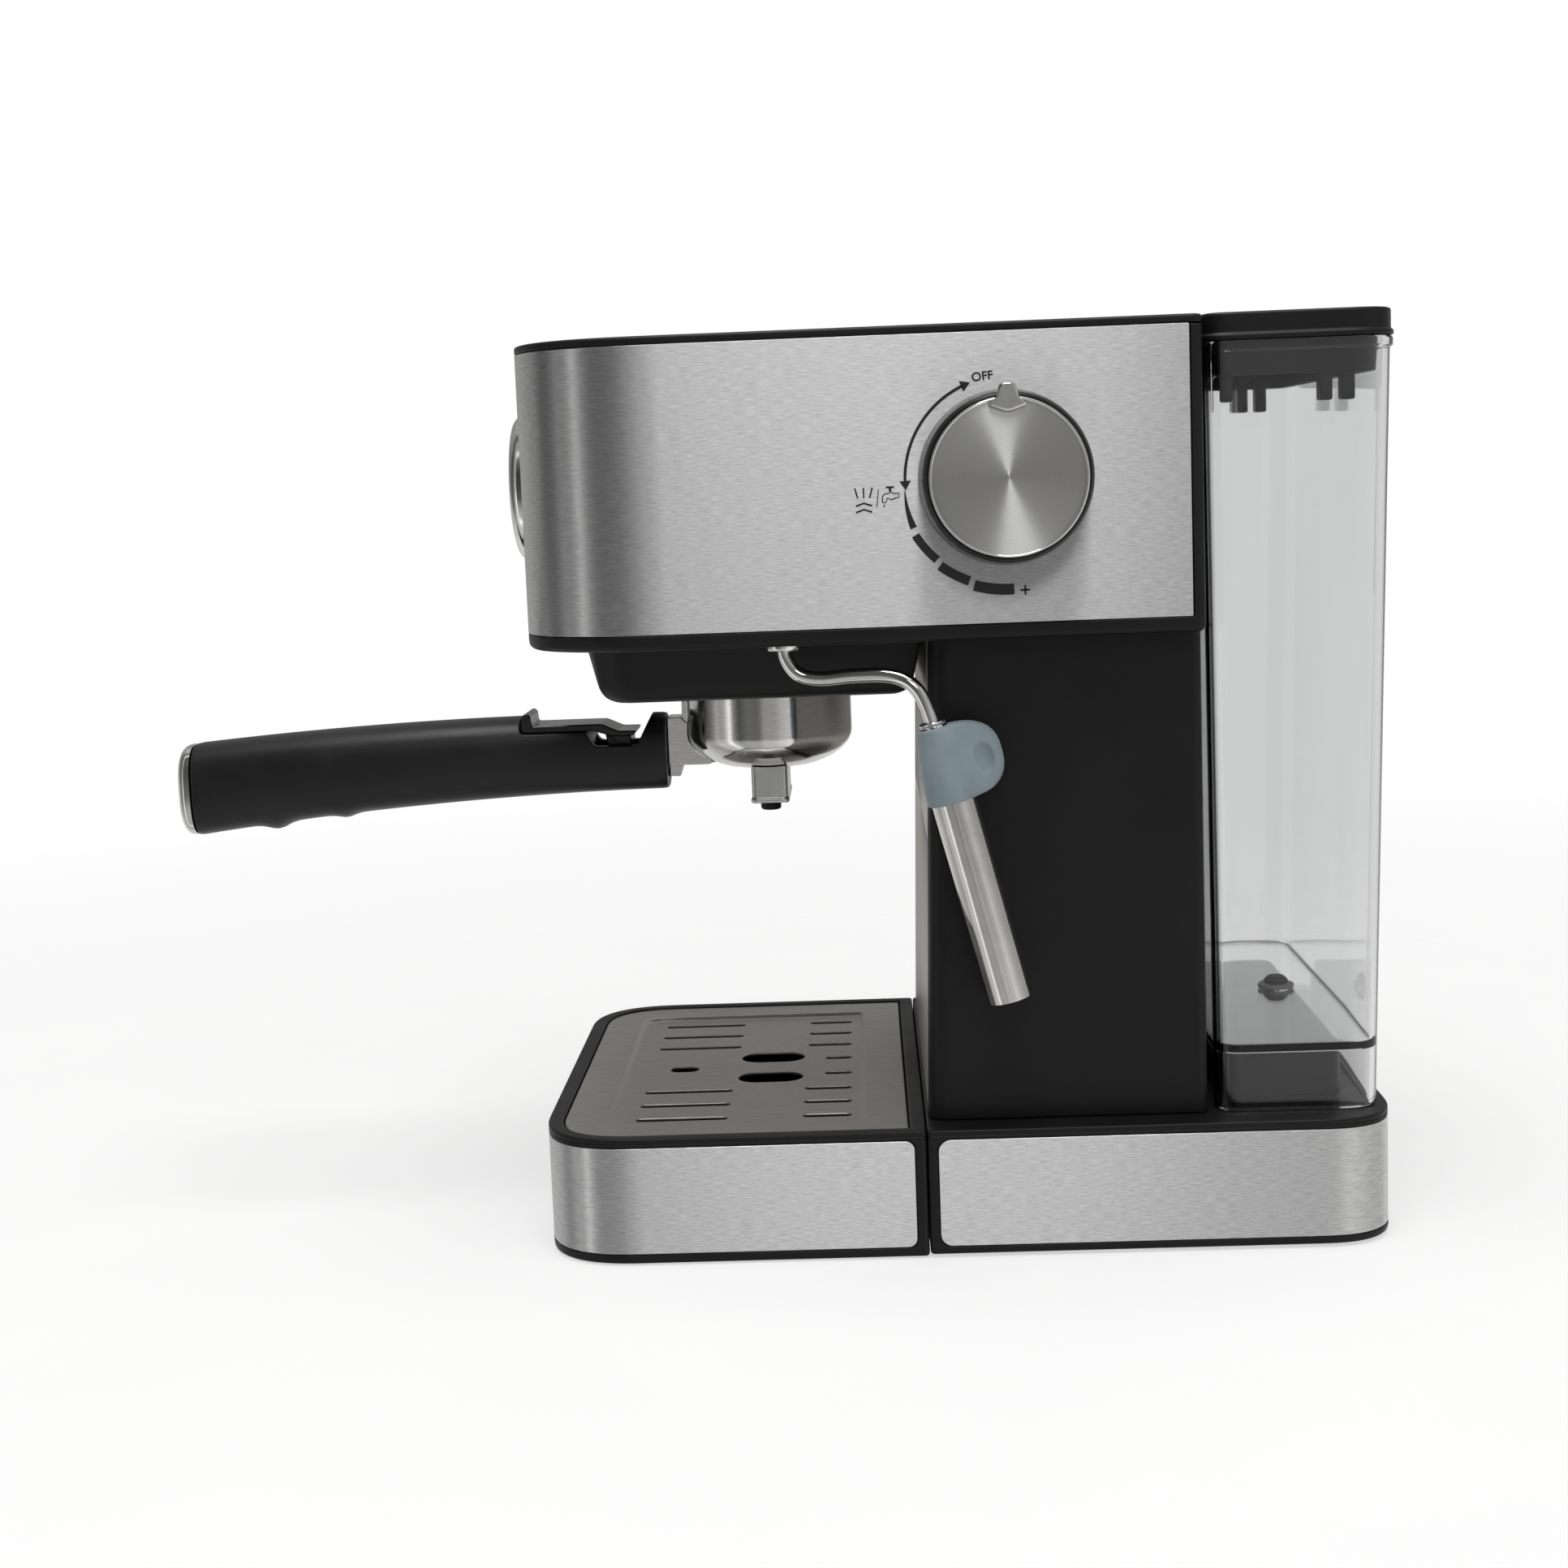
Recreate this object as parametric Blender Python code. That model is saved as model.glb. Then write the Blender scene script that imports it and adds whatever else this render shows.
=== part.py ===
"""A pump espresso machine with a water tank behind it, a drip tray in front and a steam wand at its side.

Lengths below are millimetres, and add() turns each mesh into metres. X runs across the machine, with the
steam knob at +X. Y runs from the front of the head, Y = 0, to the rear. Z is the height above the counter.
The last step moves everything so that the origin is the middle of the whole machine's footprint.
"""

import math
from collections import namedtuple

import bmesh
import bpy
from mathutils import Matrix, Vector

MM = 0.001
GAP = 0.3  # clearance between neighbouring pieces
SKIN = 0.5  # thickness of the steel bands

# Plan outlines: a rounded rectangle from front to rear, half as wide as the machine.
Outline = namedtuple("Outline", "half front rear front_radius rear_radius")
HALF = 100.0
SEAM_Y = 129.8  # between drip tray and rear base
HEAD_REAR_Y = 225.0
BASE = Outline(HALF, SEAM_Y + GAP, 286.5, 1.5, 22.0)
TRAY = Outline(HALF, 0.0, SEAM_Y, 28.0, 1.5)
HEAD = Outline(HALF, 0.0, HEAD_REAR_Y, 42.0, 2.5)
HOUSING = Outline(76.0, 20.0, 134.2, 16.0, 2.5)
COLUMN_FOOT = Outline(88.0, 131.0, HEAD_REAR_Y, 6.0, 3.0)
COLUMN_TOP = Outline(88.0, 135.6, HEAD_REAR_Y, 6.0, 3.0)
TANK_FOOT = Outline(88.5, 228.0, 283.0, 8.0, 12.0)
TANK_TOP = Outline(90.5, 226.6, 288.4, 8.0, 12.0)
LID = Outline(91.5, 225.4, 289.6, 9.0, 13.0)

# Heights.
BASE_BOTTOM_Z = 0.9
TRAY_BOTTOM_Z = 0.4
BAND_LOW_Z = 3.8
BAND_HIGH_Z = 40.2
DECK_Z = 43.5
PLATE_Z = 42.9  # top of the drip plate
HOUSING_Z = 186.0
HEAD_Z = 206.0
HEAD_BAND_Z = 211.3
COVER_Z = 304.2
TOP_Z = 307.0
TANK_FLOOR_Z = 66.0
TANK_RIM_Z = 298.3
LID_TOP_Z = 307.5

# Axes.
GROUP_Y = 79.0  # the brewing group stands on X = 0
WAND_X = 87.0
WAND_Y = 88.0
KNOB_Y = 161.5
KNOB_Z = 257.8
GAUGE_Z = 260.0
NEEDLE_CENTRE = (0.0, -4.1, GAUGE_Z)
NEEDLE_REST = -120.0  # degrees clockwise from straight up, seen from the front: the zero mark
CLIP_Y = 25.0
CLIP_Z = 163.0
LID_HINGE_Y = 292.2
LID_HINGE_Z = 293.5
VALVE_Y = 263.0
BUTTONS = {"power_button": -40.0, "one_cup_button": 0.0, "two_cup_button": 40.0}
BUTTON_Y = 30.0
FOOT_SPOTS = {"rear_left": (-78.0, 268.0), "rear_right": (78.0, 268.0),
              "front_left": (-82.0, 150.0), "front_right": (82.0, 150.0)}
SCREW_SPOTS = {"rear_left": (-50.0, 270.0), "rear_right": (50.0, 270.0),
               "front_left": (-50.0, 146.0), "front_right": (50.0, 146.0)}

CORNER_STEPS = 5
SEGMENTS = 24
SMALL_SEGMENTS = 12


# ---------------------------------------------------------------- materials

FINISHES = {
    "black_plastic": ((0.016, 0.016, 0.018), 0.45, 0.0),
    "gloss_black": ((0.012, 0.012, 0.013), 0.2, 0.0),
    "brushed_steel": ((0.55, 0.54, 0.52), 0.32, 1.0),
    "plate_steel": ((0.33, 0.32, 0.30), 0.38, 1.0),
    "chrome": ((0.75, 0.75, 0.75), 0.08, 1.0),
    "cast_metal": ((0.45, 0.45, 0.44), 0.4, 1.0),
    "brass": ((0.60, 0.42, 0.18), 0.35, 1.0),
    "rubber": ((0.02, 0.02, 0.02), 0.8, 0.0),
    "silicone": ((0.19, 0.25, 0.29), 0.55, 0.0),
    "dial_white": ((0.80, 0.80, 0.78), 0.5, 0.0),
    "needle_red": ((0.60, 0.03, 0.02), 0.4, 0.0),
    "clear_plastic": ((0.82, 0.83, 0.83), 0.05, 0.0),
    "seal_grey": ((0.22, 0.22, 0.23), 0.6, 0.0),
}
SEE_THROUGH = ("clear_plastic",)


def finish(name, piece):
    """A new Principled material for one piece."""
    colour, roughness, metallic = FINISHES[name]
    material = bpy.data.materials.new(f"{piece}_{name}")
    material.use_nodes = True
    shader = material.node_tree.nodes["Principled BSDF"]
    shader.inputs["Base Color"].default_value = (*colour, 1.0)
    shader.inputs["Roughness"].default_value = roughness
    shader.inputs["Metallic"].default_value = metallic
    if name in SEE_THROUGH:
        shader.inputs["Transmission Weight"].default_value = 0.95
    material.diffuse_color = (*colour, 1.0)
    return material


# ---------------------------------------------------------------- mesh helpers


def add(name, bm, finish_name, origin=(0.0, 0.0, 0.0)):
    """Makes the object, with its origin at a point given in millimetres, and its mesh in metres."""
    bmesh.ops.recalc_face_normals(bm, faces=bm.faces)
    to_metres = Matrix.Scale(MM, 4) @ Matrix.Translation(-Vector(origin))
    bmesh.ops.transform(bm, matrix=to_metres, verts=bm.verts)
    mesh = bpy.data.meshes.new(name)
    bm.to_mesh(mesh)
    bm.free()
    mesh.shade_smooth()
    mesh.set_sharp_from_angle(angle=math.radians(32))
    mesh.materials.append(finish(finish_name, name))
    obj = bpy.data.objects.new(name, mesh)
    obj.location = Vector(origin) * MM
    bpy.context.scene.collection.objects.link(obj)
    return obj


def combine(target, operation, tool):
    """Leaves a live Boolean on target. The tool is hidden from the render, and follows target's parent."""
    tool.hide_render = True
    tool.display_type = "WIRE"
    modifier = target.modifiers.new(f"{operation.lower()}_{tool.name}", "BOOLEAN")
    modifier.operation = operation
    modifier.object = tool
    return target


def cut(target, name, bm):
    return combine(target, "DIFFERENCE", add(name, bm, "black_plastic"))


def fuse(target, name, bm):
    return combine(target, "UNION", add(name, bm, "black_plastic"))


def loft(loops, closed=False, bm=None):
    """Joins equal loops of points with quads. It caps both ends, or joins the last loop to the first."""
    bm = bm or bmesh.new()
    rings = [[bm.verts.new(point) for point in loop] for loop in loops]
    pairs = list(zip(rings, rings[1:]))
    if closed:
        pairs.append((rings[-1], rings[0]))
    for low, high in pairs:
        for i in range(len(low)):
            j = (i + 1) % len(low)
            bm.faces.new((low[i], low[j], high[j], high[i]))
    if not closed:
        bm.faces.new(rings[0][::-1])
        bm.faces.new(rings[-1])
    return bm


def arc(cx, cy, radius, start, end, steps):
    """Points along a circle, from one angle in degrees to another."""
    angles = [math.radians(start + (end - start) * i / steps) for i in range(steps + 1)]
    return [(cx + radius * math.cos(a), cy + radius * math.sin(a)) for a in angles]


def corners(outline, inset):
    """The outline's four corner arcs, moved inwards: front left, front right, rear right, rear left."""
    half = outline.half - inset
    front = outline.front + inset
    rear = outline.rear - inset
    near = max(outline.front_radius - inset, 0.8)
    far = max(outline.rear_radius - inset, 0.8)
    return (
        arc(near - half, front + near, near, 180, 270, CORNER_STEPS),
        arc(half - near, front + near, near, 270, 360, CORNER_STEPS),
        arc(half - far, rear - far, far, 0, 90, CORNER_STEPS),
        arc(far - half, rear - far, far, 90, 180, CORNER_STEPS),
    )


def ring(outline, inset, z, notch=None):
    """A loop at height z. A notch, (half width, depth), sets the middle of the front face back."""
    front_left, front_right, rear_right, rear_left = corners(outline, inset)
    middle = []
    if notch:
        half, depth = notch
        front = outline.front + inset
        middle = [(-half, front), (-half, front + depth), (half, front + depth), (half, front)]
    points = front_left + middle + front_right + rear_right + rear_left
    return [(x, y, z) for x, y in points]


def stack(outline, levels):
    """A solid or a shell: one loop for each (inset, height), capped at both ends."""
    return loft([ring(outline, inset, z) for inset, z in levels])


def between(low, high, share):
    """The outline that lies at this share of the way from one outline to another."""
    return Outline(*[a + (b - a) * share for a, b in zip(low, high)])


def band(outline, end_y, low, high, depth, radius, rear, grow=0.0, proud=0.0):
    """A strip round the front or the rear of an outline, whose two ends at end_y have rounded corners.

    grow widens it on every edge, and proud lets it stand out of the outline, for cutting its seat.
    """
    towards = 1 if rear else -1
    end_y -= towards * grow
    low -= grow
    high += grow
    steps = 4
    trims = [(radius * (1 - math.cos(a)), radius * (1 - math.sin(a)))
             for a in (math.pi / 2 * i / steps for i in range(steps + 1))]

    def path(inset):
        first, second = corners(outline, inset)[2:] if rear else corners(outline, inset)[:2]
        half = outline.half - inset
        side = half if rear else -half
        start = [(side, end_y + towards * along) for along, _ in trims]
        stop = [(-side, y) for _, y in reversed(start)]
        return start + first + second + stop

    trim = [up for _, up in trims]
    trim = trim + [0.0] * (2 * (CORNER_STEPS + 1)) + trim[::-1]
    sections = []
    for (ox, oy), (ix, iy), up in zip(path(-proud), path(depth), trim):
        sections.append([(ox, oy, low + up), (ox, oy, high - up), (ix, iy, high - up), (ix, iy, low + up)])
    return loft(sections)


def turned(profile, base=(0.0, 0.0, 0.0), axis=(0.0, 0.0, 1.0), segments=SEGMENTS, bm=None):
    """Turns (radius, height) points about an axis.

    A profile whose ends are at radius 0 makes a solid. Any other is joined into a ring with a hole.
    """
    solid = profile[0][0] == 0.0
    angles = [2 * math.pi * i / segments for i in range(segments)]
    turn = Vector((0, 0, 1)).rotation_difference(Vector(axis)).to_matrix()

    def place(radius, height, angle):
        return turn @ Vector((radius * math.cos(angle), radius * math.sin(angle), height)) + Vector(base)

    rings = profile[1:-1] if solid else profile
    return loft([[place(r, h, a) for a in angles] for r, h in rings], closed=not solid, bm=bm)


def disc(radius, start, length, base, axis, segments=SEGMENTS, bm=None):
    """A cylinder that begins at start along its axis."""
    profile = [(0.0, start), (radius, start), (radius, start + length), (0.0, start + length)]
    return turned(profile, base, axis, segments, bm)


def prism(profile, half, bm=None):
    """Extrudes a (y, z) outline from -half to half along X."""
    return loft([[(x, y, z) for y, z in profile] for x in (-half, half)], bm=bm)


def tube(points, radius, sides=12):
    """A round bar along a list of points, with flat ends."""
    path = [Vector(p) for p in points]
    normal = Vector((1, 0, 0))
    loops = []
    for i, point in enumerate(path):
        ahead = (path[min(i + 1, len(path) - 1)] - path[max(i - 1, 0)]).normalized()
        normal = (normal - ahead * normal.dot(ahead)).normalized()
        side = ahead.cross(normal)
        angles = [2 * math.pi * k / sides for k in range(sides)]
        loops.append([point + radius * (math.cos(a) * normal + math.sin(a) * side) for a in angles])
    return loft(loops)


def smooth_path(points, steps):
    """Catmull-Rom curve through the points."""
    knots = [Vector(p) for p in points]
    knots = [2 * knots[0] - knots[1]] + knots + [2 * knots[-1] - knots[-2]]
    path = []
    for a, b, c, d in zip(knots, knots[1:], knots[2:], knots[3:]):
        for i in range(steps):
            t = i / steps
            path.append(0.5 * (2 * b + (c - a) * t + (2 * a - 5 * b + 4 * c - d) * t ** 2
                               + (3 * b - a - 3 * c + d) * t ** 3))
    return path + [knots[-2]]


# ---------------------------------------------------------------- rear base


def rear_base():
    """Moulded base that carries the column and the tank, with its steel band, bottom plate, feet and screws."""
    wall = 2.6
    boss_radius = 4.5
    levels = [(wall, DECK_Z - wall), (wall, BASE_BOTTOM_Z), (0.9, BASE_BOTTOM_Z), (0.0, BASE_BOTTOM_Z + 0.9),
              (0.0, DECK_Z - 1.0), (1.0, DECK_Z)]
    tub = add("base_tub", stack(BASE, levels), "black_plastic")
    end_y = BASE.front + 3.6
    seat = band(BASE, end_y, BAND_LOW_Z, BAND_HIGH_Z, SKIN + GAP, 4.0, True, GAP, 1.0)
    cut(tub, "base_band_seat", seat)
    steel = band(BASE, end_y, BAND_LOW_Z, BAND_HIGH_Z, SKIN, 4.0, True)
    strip = add("base_steel_band", steel, "brushed_steel")
    bosses = bmesh.new()
    holes = bmesh.new()
    for x, y in SCREW_SPOTS.values():
        disc(boss_radius, 3.6, DECK_Z - wall - 3.0, (x, y, 0), (0, 0, 1), SMALL_SEGMENTS, bosses)
        disc(1.6, 0.0, 16.0, (x, y, 0), (0, 0, 1), SMALL_SEGMENTS, holes)
    fuse(tub, "base_bosses", bosses)
    cut(tub, "base_boss_holes", holes)
    for target, name in ((tub, "gland_hole_in_base"), (strip, "gland_hole_in_band")):
        cut(target, name, disc(7.4, -8.0, 16.0, (-60.0, BASE.rear, 21.0), (0, 1, 0), SMALL_SEGMENTS))
    gland = [(3.6, -6.0), (7.0, -6.0), (7.0, 0.3), (9.0, 0.3), (9.0, 2.0), (6.4, 3.4), (5.6, 7.0), (3.6, 7.0)]
    add("cord_gland", turned(gland, (-60.0, BASE.rear, 21.0), (0, 1, 0), SMALL_SEGMENTS), "rubber")

    plate = add("base_bottom_plate", stack(BASE, [(wall + GAP, 1.6), (wall + GAP, 3.2)]), "black_plastic")
    openings = bmesh.new()
    for x, y in SCREW_SPOTS.values():
        disc(1.8, 0.0, 5.0, (x, y, 0), (0, 0, 1), SMALL_SEGMENTS, openings)
    cut(plate, "plate_screw_holes", openings)
    for spot, (x, y) in SCREW_SPOTS.items():
        screw = [(0.0, 0.5), (2.8, 0.5), (2.8, 1.3), (1.3, 1.3), (1.3, 14.0), (0.0, 14.0)]
        add(f"base_screw_{spot}", turned(screw, (x, y, 0), segments=8), "cast_metal")
    for spot, (x, y) in FOOT_SPOTS.items():
        foot = [(0.0, 0.0), (7.6, 0.0), (8.4, 0.4), (8.4, 1.3), (0.0, 1.3)]
        add(f"foot_{spot}", turned(foot, (x, y, 0), segments=SMALL_SEGMENTS), "rubber")


# ---------------------------------------------------------------- drip tray


def drip_tray():
    """Tray in front of the base: its tub, its steel band and the slotted plate that lies on its ledge."""
    levels = [(4.0, TRAY_BOTTOM_Z), (1.0, TRAY_BOTTOM_Z), (0.0, TRAY_BOTTOM_Z + 1.0), (0.0, DECK_Z - 1.0),
              (1.0, DECK_Z), (5.2, DECK_Z), (5.4, 41.6), (9.0, 41.6), (10.0, 6.0), (13.0, 3.0)]
    tub = add("tray_tub", stack(TRAY, levels), "black_plastic")
    end_y = TRAY.rear - 4.0
    seat = band(TRAY, end_y, BAND_LOW_Z, BAND_HIGH_Z, SKIN + GAP, 3.0, False, GAP, 1.0)
    cut(tub, "tray_band_seat", seat)
    steel = band(TRAY, end_y, BAND_LOW_Z, BAND_HIGH_Z, SKIN, 3.0, False)
    strip = add("tray_steel_band", steel, "brushed_steel")
    return tub, strip


def slot(x, start, end, width, bm):
    """A cutter for one slot with round ends along Y."""
    radius = width / 2
    outline = arc(x, start + radius, radius, 180, 360, 4) + arc(x, end - radius, radius, 0, 180, 4)
    loft([[(px, py, z) for px, py in outline] for z in (PLATE_Z - 4.0, PLATE_Z + 2.0)], bm=bm)


def drip_plate():
    """Pressed steel plate, with a field that is lower than its rim, and slots for the spills."""
    thick = 1.0
    sunk = 1.6
    edge = 5.8
    levels = [(20.8, PLATE_Z - sunk - thick), (19.5, PLATE_Z - thick), (edge, PLATE_Z - thick),
              (edge, PLATE_Z - 0.2), (edge + GAP, PLATE_Z), (20.2, PLATE_Z), (21.5, PLATE_Z - sunk)]
    plate = add("drip_plate", stack(TRAY, levels), "plate_steel")
    slots = bmesh.new()
    narrow = 3.8
    for side in (-1, 1):
        for x in (32.3, 50.6, 68.7):
            slot(side * x, 30.0, 62.0, narrow, slots)
            slot(side * x, 88.0, 105.0, narrow, slots)
        slot(side * 14.6, 63.0, 87.0, 14.5, slots)
        slot(side * 11.2, 95.0, 105.0, narrow, slots)
    slot(0.0, 36.8, 47.6, 8.0, slots)
    return cut(plate, "plate_slots", slots)


# ---------------------------------------------------------------- column and head


def column():
    """Hollow column between base and head, whose front leans back, with the steel panel set into it."""
    notch = (82.0, 1.1)
    wall = 2.4
    low = DECK_Z + GAP
    high = HEAD_Z - GAP
    loops = [ring(COLUMN_FOOT, 0, low, notch), ring(COLUMN_TOP, 0, high, notch),
             ring(COLUMN_TOP, wall, high, notch), ring(COLUMN_FOOT, wall, low, notch)]
    add("column_shell", loft(loops, closed=True), "black_plastic")
    half = notch[0] - GAP
    panel = []
    for z in (low, high):
        share = (z - low) / (high - low)
        front = between(COLUMN_FOOT, COLUMN_TOP, share).front
        panel.append([(-half, front, z), (half, front, z), (half, front + 0.8, z), (-half, front + 0.8, z)])
    add("column_front_panel", loft(panel), "brushed_steel")


def head():
    """The head: its open chassis, steel band, top cover and cup warming plate."""
    wall = 3.0
    levels = [(6.0, HEAD_Z), (1.6, HEAD_Z), (0.3, HEAD_Z + 1.2), (0.0, HEAD_Z + 3.0), (0.0, COVER_Z - GAP),
              (wall, COVER_Z - GAP), (wall, HEAD_Z + wall), (6.0, HEAD_Z + wall)]
    chassis = add("head_chassis", stack(HEAD, levels), "black_plastic")
    end_y = HEAD_REAR_Y - 4.2
    seat = band(HEAD, end_y, HEAD_BAND_Z, COVER_Z + 6.0, SKIN + GAP, 0.6, False, GAP, 1.0)
    cut(chassis, "head_band_seat", seat)
    steel = band(HEAD, end_y, HEAD_BAND_Z, COVER_Z - 0.2, SKIN, 0.6, False)
    strip = add("head_steel_band", steel, "brushed_steel")
    knob_centre = (HALF, KNOB_Y, KNOB_Z)
    gauge_centre = (0.0, 0.0, GAUGE_Z)
    for target, label in ((chassis, "chassis"), (strip, "band")):
        cut(target, f"gauge_hole_in_{label}", disc(22.6, -8.0, 16.0, gauge_centre, (0, 1, 0)))
        cut(target, f"shaft_hole_in_{label}", disc(5.0, -8.0, 16.0, knob_centre, (1, 0, 0), SMALL_SEGMENTS))
    cut(chassis, "group_hole", disc(38.4, -8.0, 16.0, (0.0, GROUP_Y, HEAD_Z), (0, 0, 1)))
    cut(chassis, "wand_hole", disc(6.4, -8.0, 16.0, (WAND_X, WAND_Y, HEAD_Z), (0, 0, 1), SMALL_SEGMENTS))

    cover_levels = [(0.5, COVER_Z), (0.0, COVER_Z + 0.6), (0.0, TOP_Z - 1.2), (0.6, TOP_Z - 0.4), (1.8, TOP_Z)]
    cover = add("top_cover", stack(HEAD, cover_levels), "black_plastic")
    pocket = Outline(80.0, 52.0, 206.0, 8.0, 8.0)
    cut(cover, "warming_plate_pocket", stack(pocket, [(0.0, TOP_Z - 1.4), (0.0, TOP_Z + 2.0)]))
    plate_levels = [(GAP, TOP_Z - 1.1), (GAP, TOP_Z - 0.1), (2.0, TOP_Z + 0.1), (3.4, TOP_Z - 0.3)]
    add("cup_warming_plate", stack(pocket, plate_levels), "brushed_steel")
    wells = bmesh.new()
    for x in BUTTONS.values():
        disc(10.3, -6.0, 12.0, (x, BUTTON_Y, TOP_Z), (0, 0, 1), 20, wells)
    cut(cover, "button_wells", wells)


def buttons():
    """Three round push buttons in the front of the top cover, flush with it."""
    cap = [(0.0, -7.5), (9.0, -7.5), (9.9, -6.8), (9.9, -0.9), (9.4, -0.2), (8.2, -0.1), (7.0, -0.5), (0.0, -0.5)]
    return [add(name, turned(cap, (x, BUTTON_Y, TOP_Z), segments=20), "gloss_black", (x, BUTTON_Y, TOP_Z))
            for name, x in BUTTONS.items()]


def group_housing():
    """Black housing under the head, round the brewing group, with well-rounded lower edges."""
    levels = [(14.0, HOUSING_Z), (9.0, HOUSING_Z + 0.4), (5.6, HOUSING_Z + 2.0), (3.6, HOUSING_Z + 5.0),
              (0.0, HEAD_Z - GAP), (2.6, HEAD_Z - GAP), (6.0, HOUSING_Z + 6.0), (14.0, HOUSING_Z + 2.8)]
    housing = add("group_housing", stack(HOUSING, levels), "black_plastic")
    cut(housing, "group_bore", disc(42.2, -8.0, 16.0, (0.0, GROUP_Y, HOUSING_Z), (0, 0, 1)))


def brewing_group():
    """The group with its bayonet ring, its gasket and screen, and the boiler on top of it."""
    base = (0.0, GROUP_Y, 0.0)
    body = [(31.2, 186.3), (41.5, 186.3), (41.5, 192.0), (37.6, 192.0), (37.6, 214.0), (2.0, 214.0),
            (2.0, 201.8), (34.6, 201.8), (34.6, 195.2), (31.2, 195.2), (31.2, 193.8), (36.2, 193.8),
            (36.2, 188.8), (31.2, 188.8)]
    group = add("group_head", turned(body, base, segments=20), "cast_metal")
    notches = bmesh.new()
    for turn in (-135.0, -15.0, 105.0):
        angle = math.radians(turn)
        out = Vector((math.cos(angle), math.sin(angle), 0))
        across = Vector((-out.y, out.x, 0))
        corner_points = [(29.0, -9.5), (36.6, -9.5), (36.6, 9.5), (29.0, 9.5)]
        loops = [[Vector(base) + out * r + across * s + Vector((0, 0, z)) for r, s in corner_points]
                 for z in (185.0, 189.5)]
        loft(loops, bm=notches)
    cut(group, "bayonet_notches", notches)
    gasket = [(26.4, 197.1), (33.6, 197.1), (33.6, 201.4), (26.4, 201.4)]
    add("group_gasket", turned(gasket, base, segments=16), "rubber")
    screen = [(0.0, 198.2), (24.6, 198.2), (25.4, 198.8), (25.4, 199.6), (6.0, 199.6), (6.0, 201.4), (0.0, 201.4)]
    add("shower_screen", turned(screen, base, segments=16), "chrome")
    boiler = [(0.0, 214.3), (40.0, 214.3), (40.0, 222.0), (34.0, 223.0), (34.0, 258.0), (30.0, 266.0),
              (12.0, 270.0), (0.0, 270.0)]
    add("boiler", turned(boiler, base, segments=16), "cast_metal")
    pump = [(0.0, 70.0), (8.0, 70.0), (8.0, 84.0), (21.0, 84.0), (21.0, 126.0), (13.0, 128.0), (13.0, 146.0),
            (5.0, 148.0), (5.0, 158.0), (0.0, 158.0)]
    add("pump", turned(pump, (0.0, 182.0, 0.0), segments=12), "cast_metal")


def pressure_gauge():
    """Gauge on the front: its can, chrome bezel, dial, lens and needle."""
    centre = (0.0, 0.0, GAUGE_Z)
    forward = (0, -1, 0)
    can = [(0.0, -26.0), (20.5, -26.0), (22.2, -24.0), (22.2, 1.9), (0.0, 1.9)]
    add("gauge_body", turned(can, centre, forward), "black_plastic")
    bezel = [(22.6, 0.3), (27.3, 0.3), (27.3, 3.0), (26.3, 6.7), (24.3, 8.7), (22.0, 9.3), (21.6, 7.9),
             (22.6, 7.3)]
    add("gauge_bezel", turned(bezel, centre, forward), "chrome")
    add("gauge_dial", disc(22.0, 2.2, 0.6, centre, forward), "dial_white")
    lens = [(0.0, 5.9), (22.2, 5.9), (22.2, 6.9), (14.0, 7.4), (0.0, 7.7)]
    add("gauge_lens", turned(lens, centre, forward), "clear_plastic")
    turn = math.radians(NEEDLE_REST)
    blade = [(x * math.cos(turn) + z * math.sin(turn), z * math.cos(turn) - x * math.sin(turn))
             for x, z in ((-1.6, -5.0), (1.6, -5.0), (0.5, 17.0), (-0.5, 17.0))]
    needle = loft([[(x, -y, GAUGE_Z + z) for x, z in blade] for y in (3.7, 4.5)])
    pointer = add("gauge_needle", needle, "needle_red", NEEDLE_CENTRE)
    hub = disc(2.6, 3.4, 1.8, centre, forward, SMALL_SEGMENTS)
    fuse(pointer, "needle_hub", hub)
    return pointer


def steam_knob():
    """Rotary knob on the side: a black skirt, a spun metal face with its pointer, and the shaft."""
    centre = (HALF, KNOB_Y, KNOB_Z)
    out = (1, 0, 0)
    skirt = [(5.2, 0.8), (27.4, 0.8), (27.9, 1.8), (27.9, 4.0), (26.9, 16.4), (26.3, 18.6), (25.8, 19.4),
             (25.4, 19.4), (25.4, 18.2), (5.2, 18.2)]
    body = add("steam_knob_body", turned(skirt, centre, out), "black_plastic", centre)
    face = [(0.0, 18.5), (25.1, 18.5), (25.1, 19.8), (24.2, 20.8), (23.4, 20.4), (0.0, 20.4)]
    plate = add("steam_knob_face", turned(face, centre, out), "chrome", centre)
    tip = [(-4.2, 21.0), (4.2, 21.0), (2.4, 25.0), (1.6, 28.6), (0.0, 29.4), (-1.6, 28.6), (-2.4, 25.0)]
    pointer = loft([[(HALF + x, KNOB_Y + y, KNOB_Z + z) for y, z in tip] for x in (19.7, 21.8)])
    fuse(plate, "knob_pointer", pointer)
    shaft = add("steam_knob_shaft", disc(4.6, -10.0, 27.8, centre, out, SMALL_SEGMENTS), "brass", centre)
    valve = [(0.0, -44.0), (7.0, -44.0), (7.0, -34.0), (13.0, -34.0), (13.0, -18.0), (8.0, -17.0), (8.0, -10.3),
             (0.0, -10.3)]
    add("steam_valve", turned(valve, centre, out, 12), "brass")
    return body, plate, shaft


# ---------------------------------------------------------------- steam wand

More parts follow.
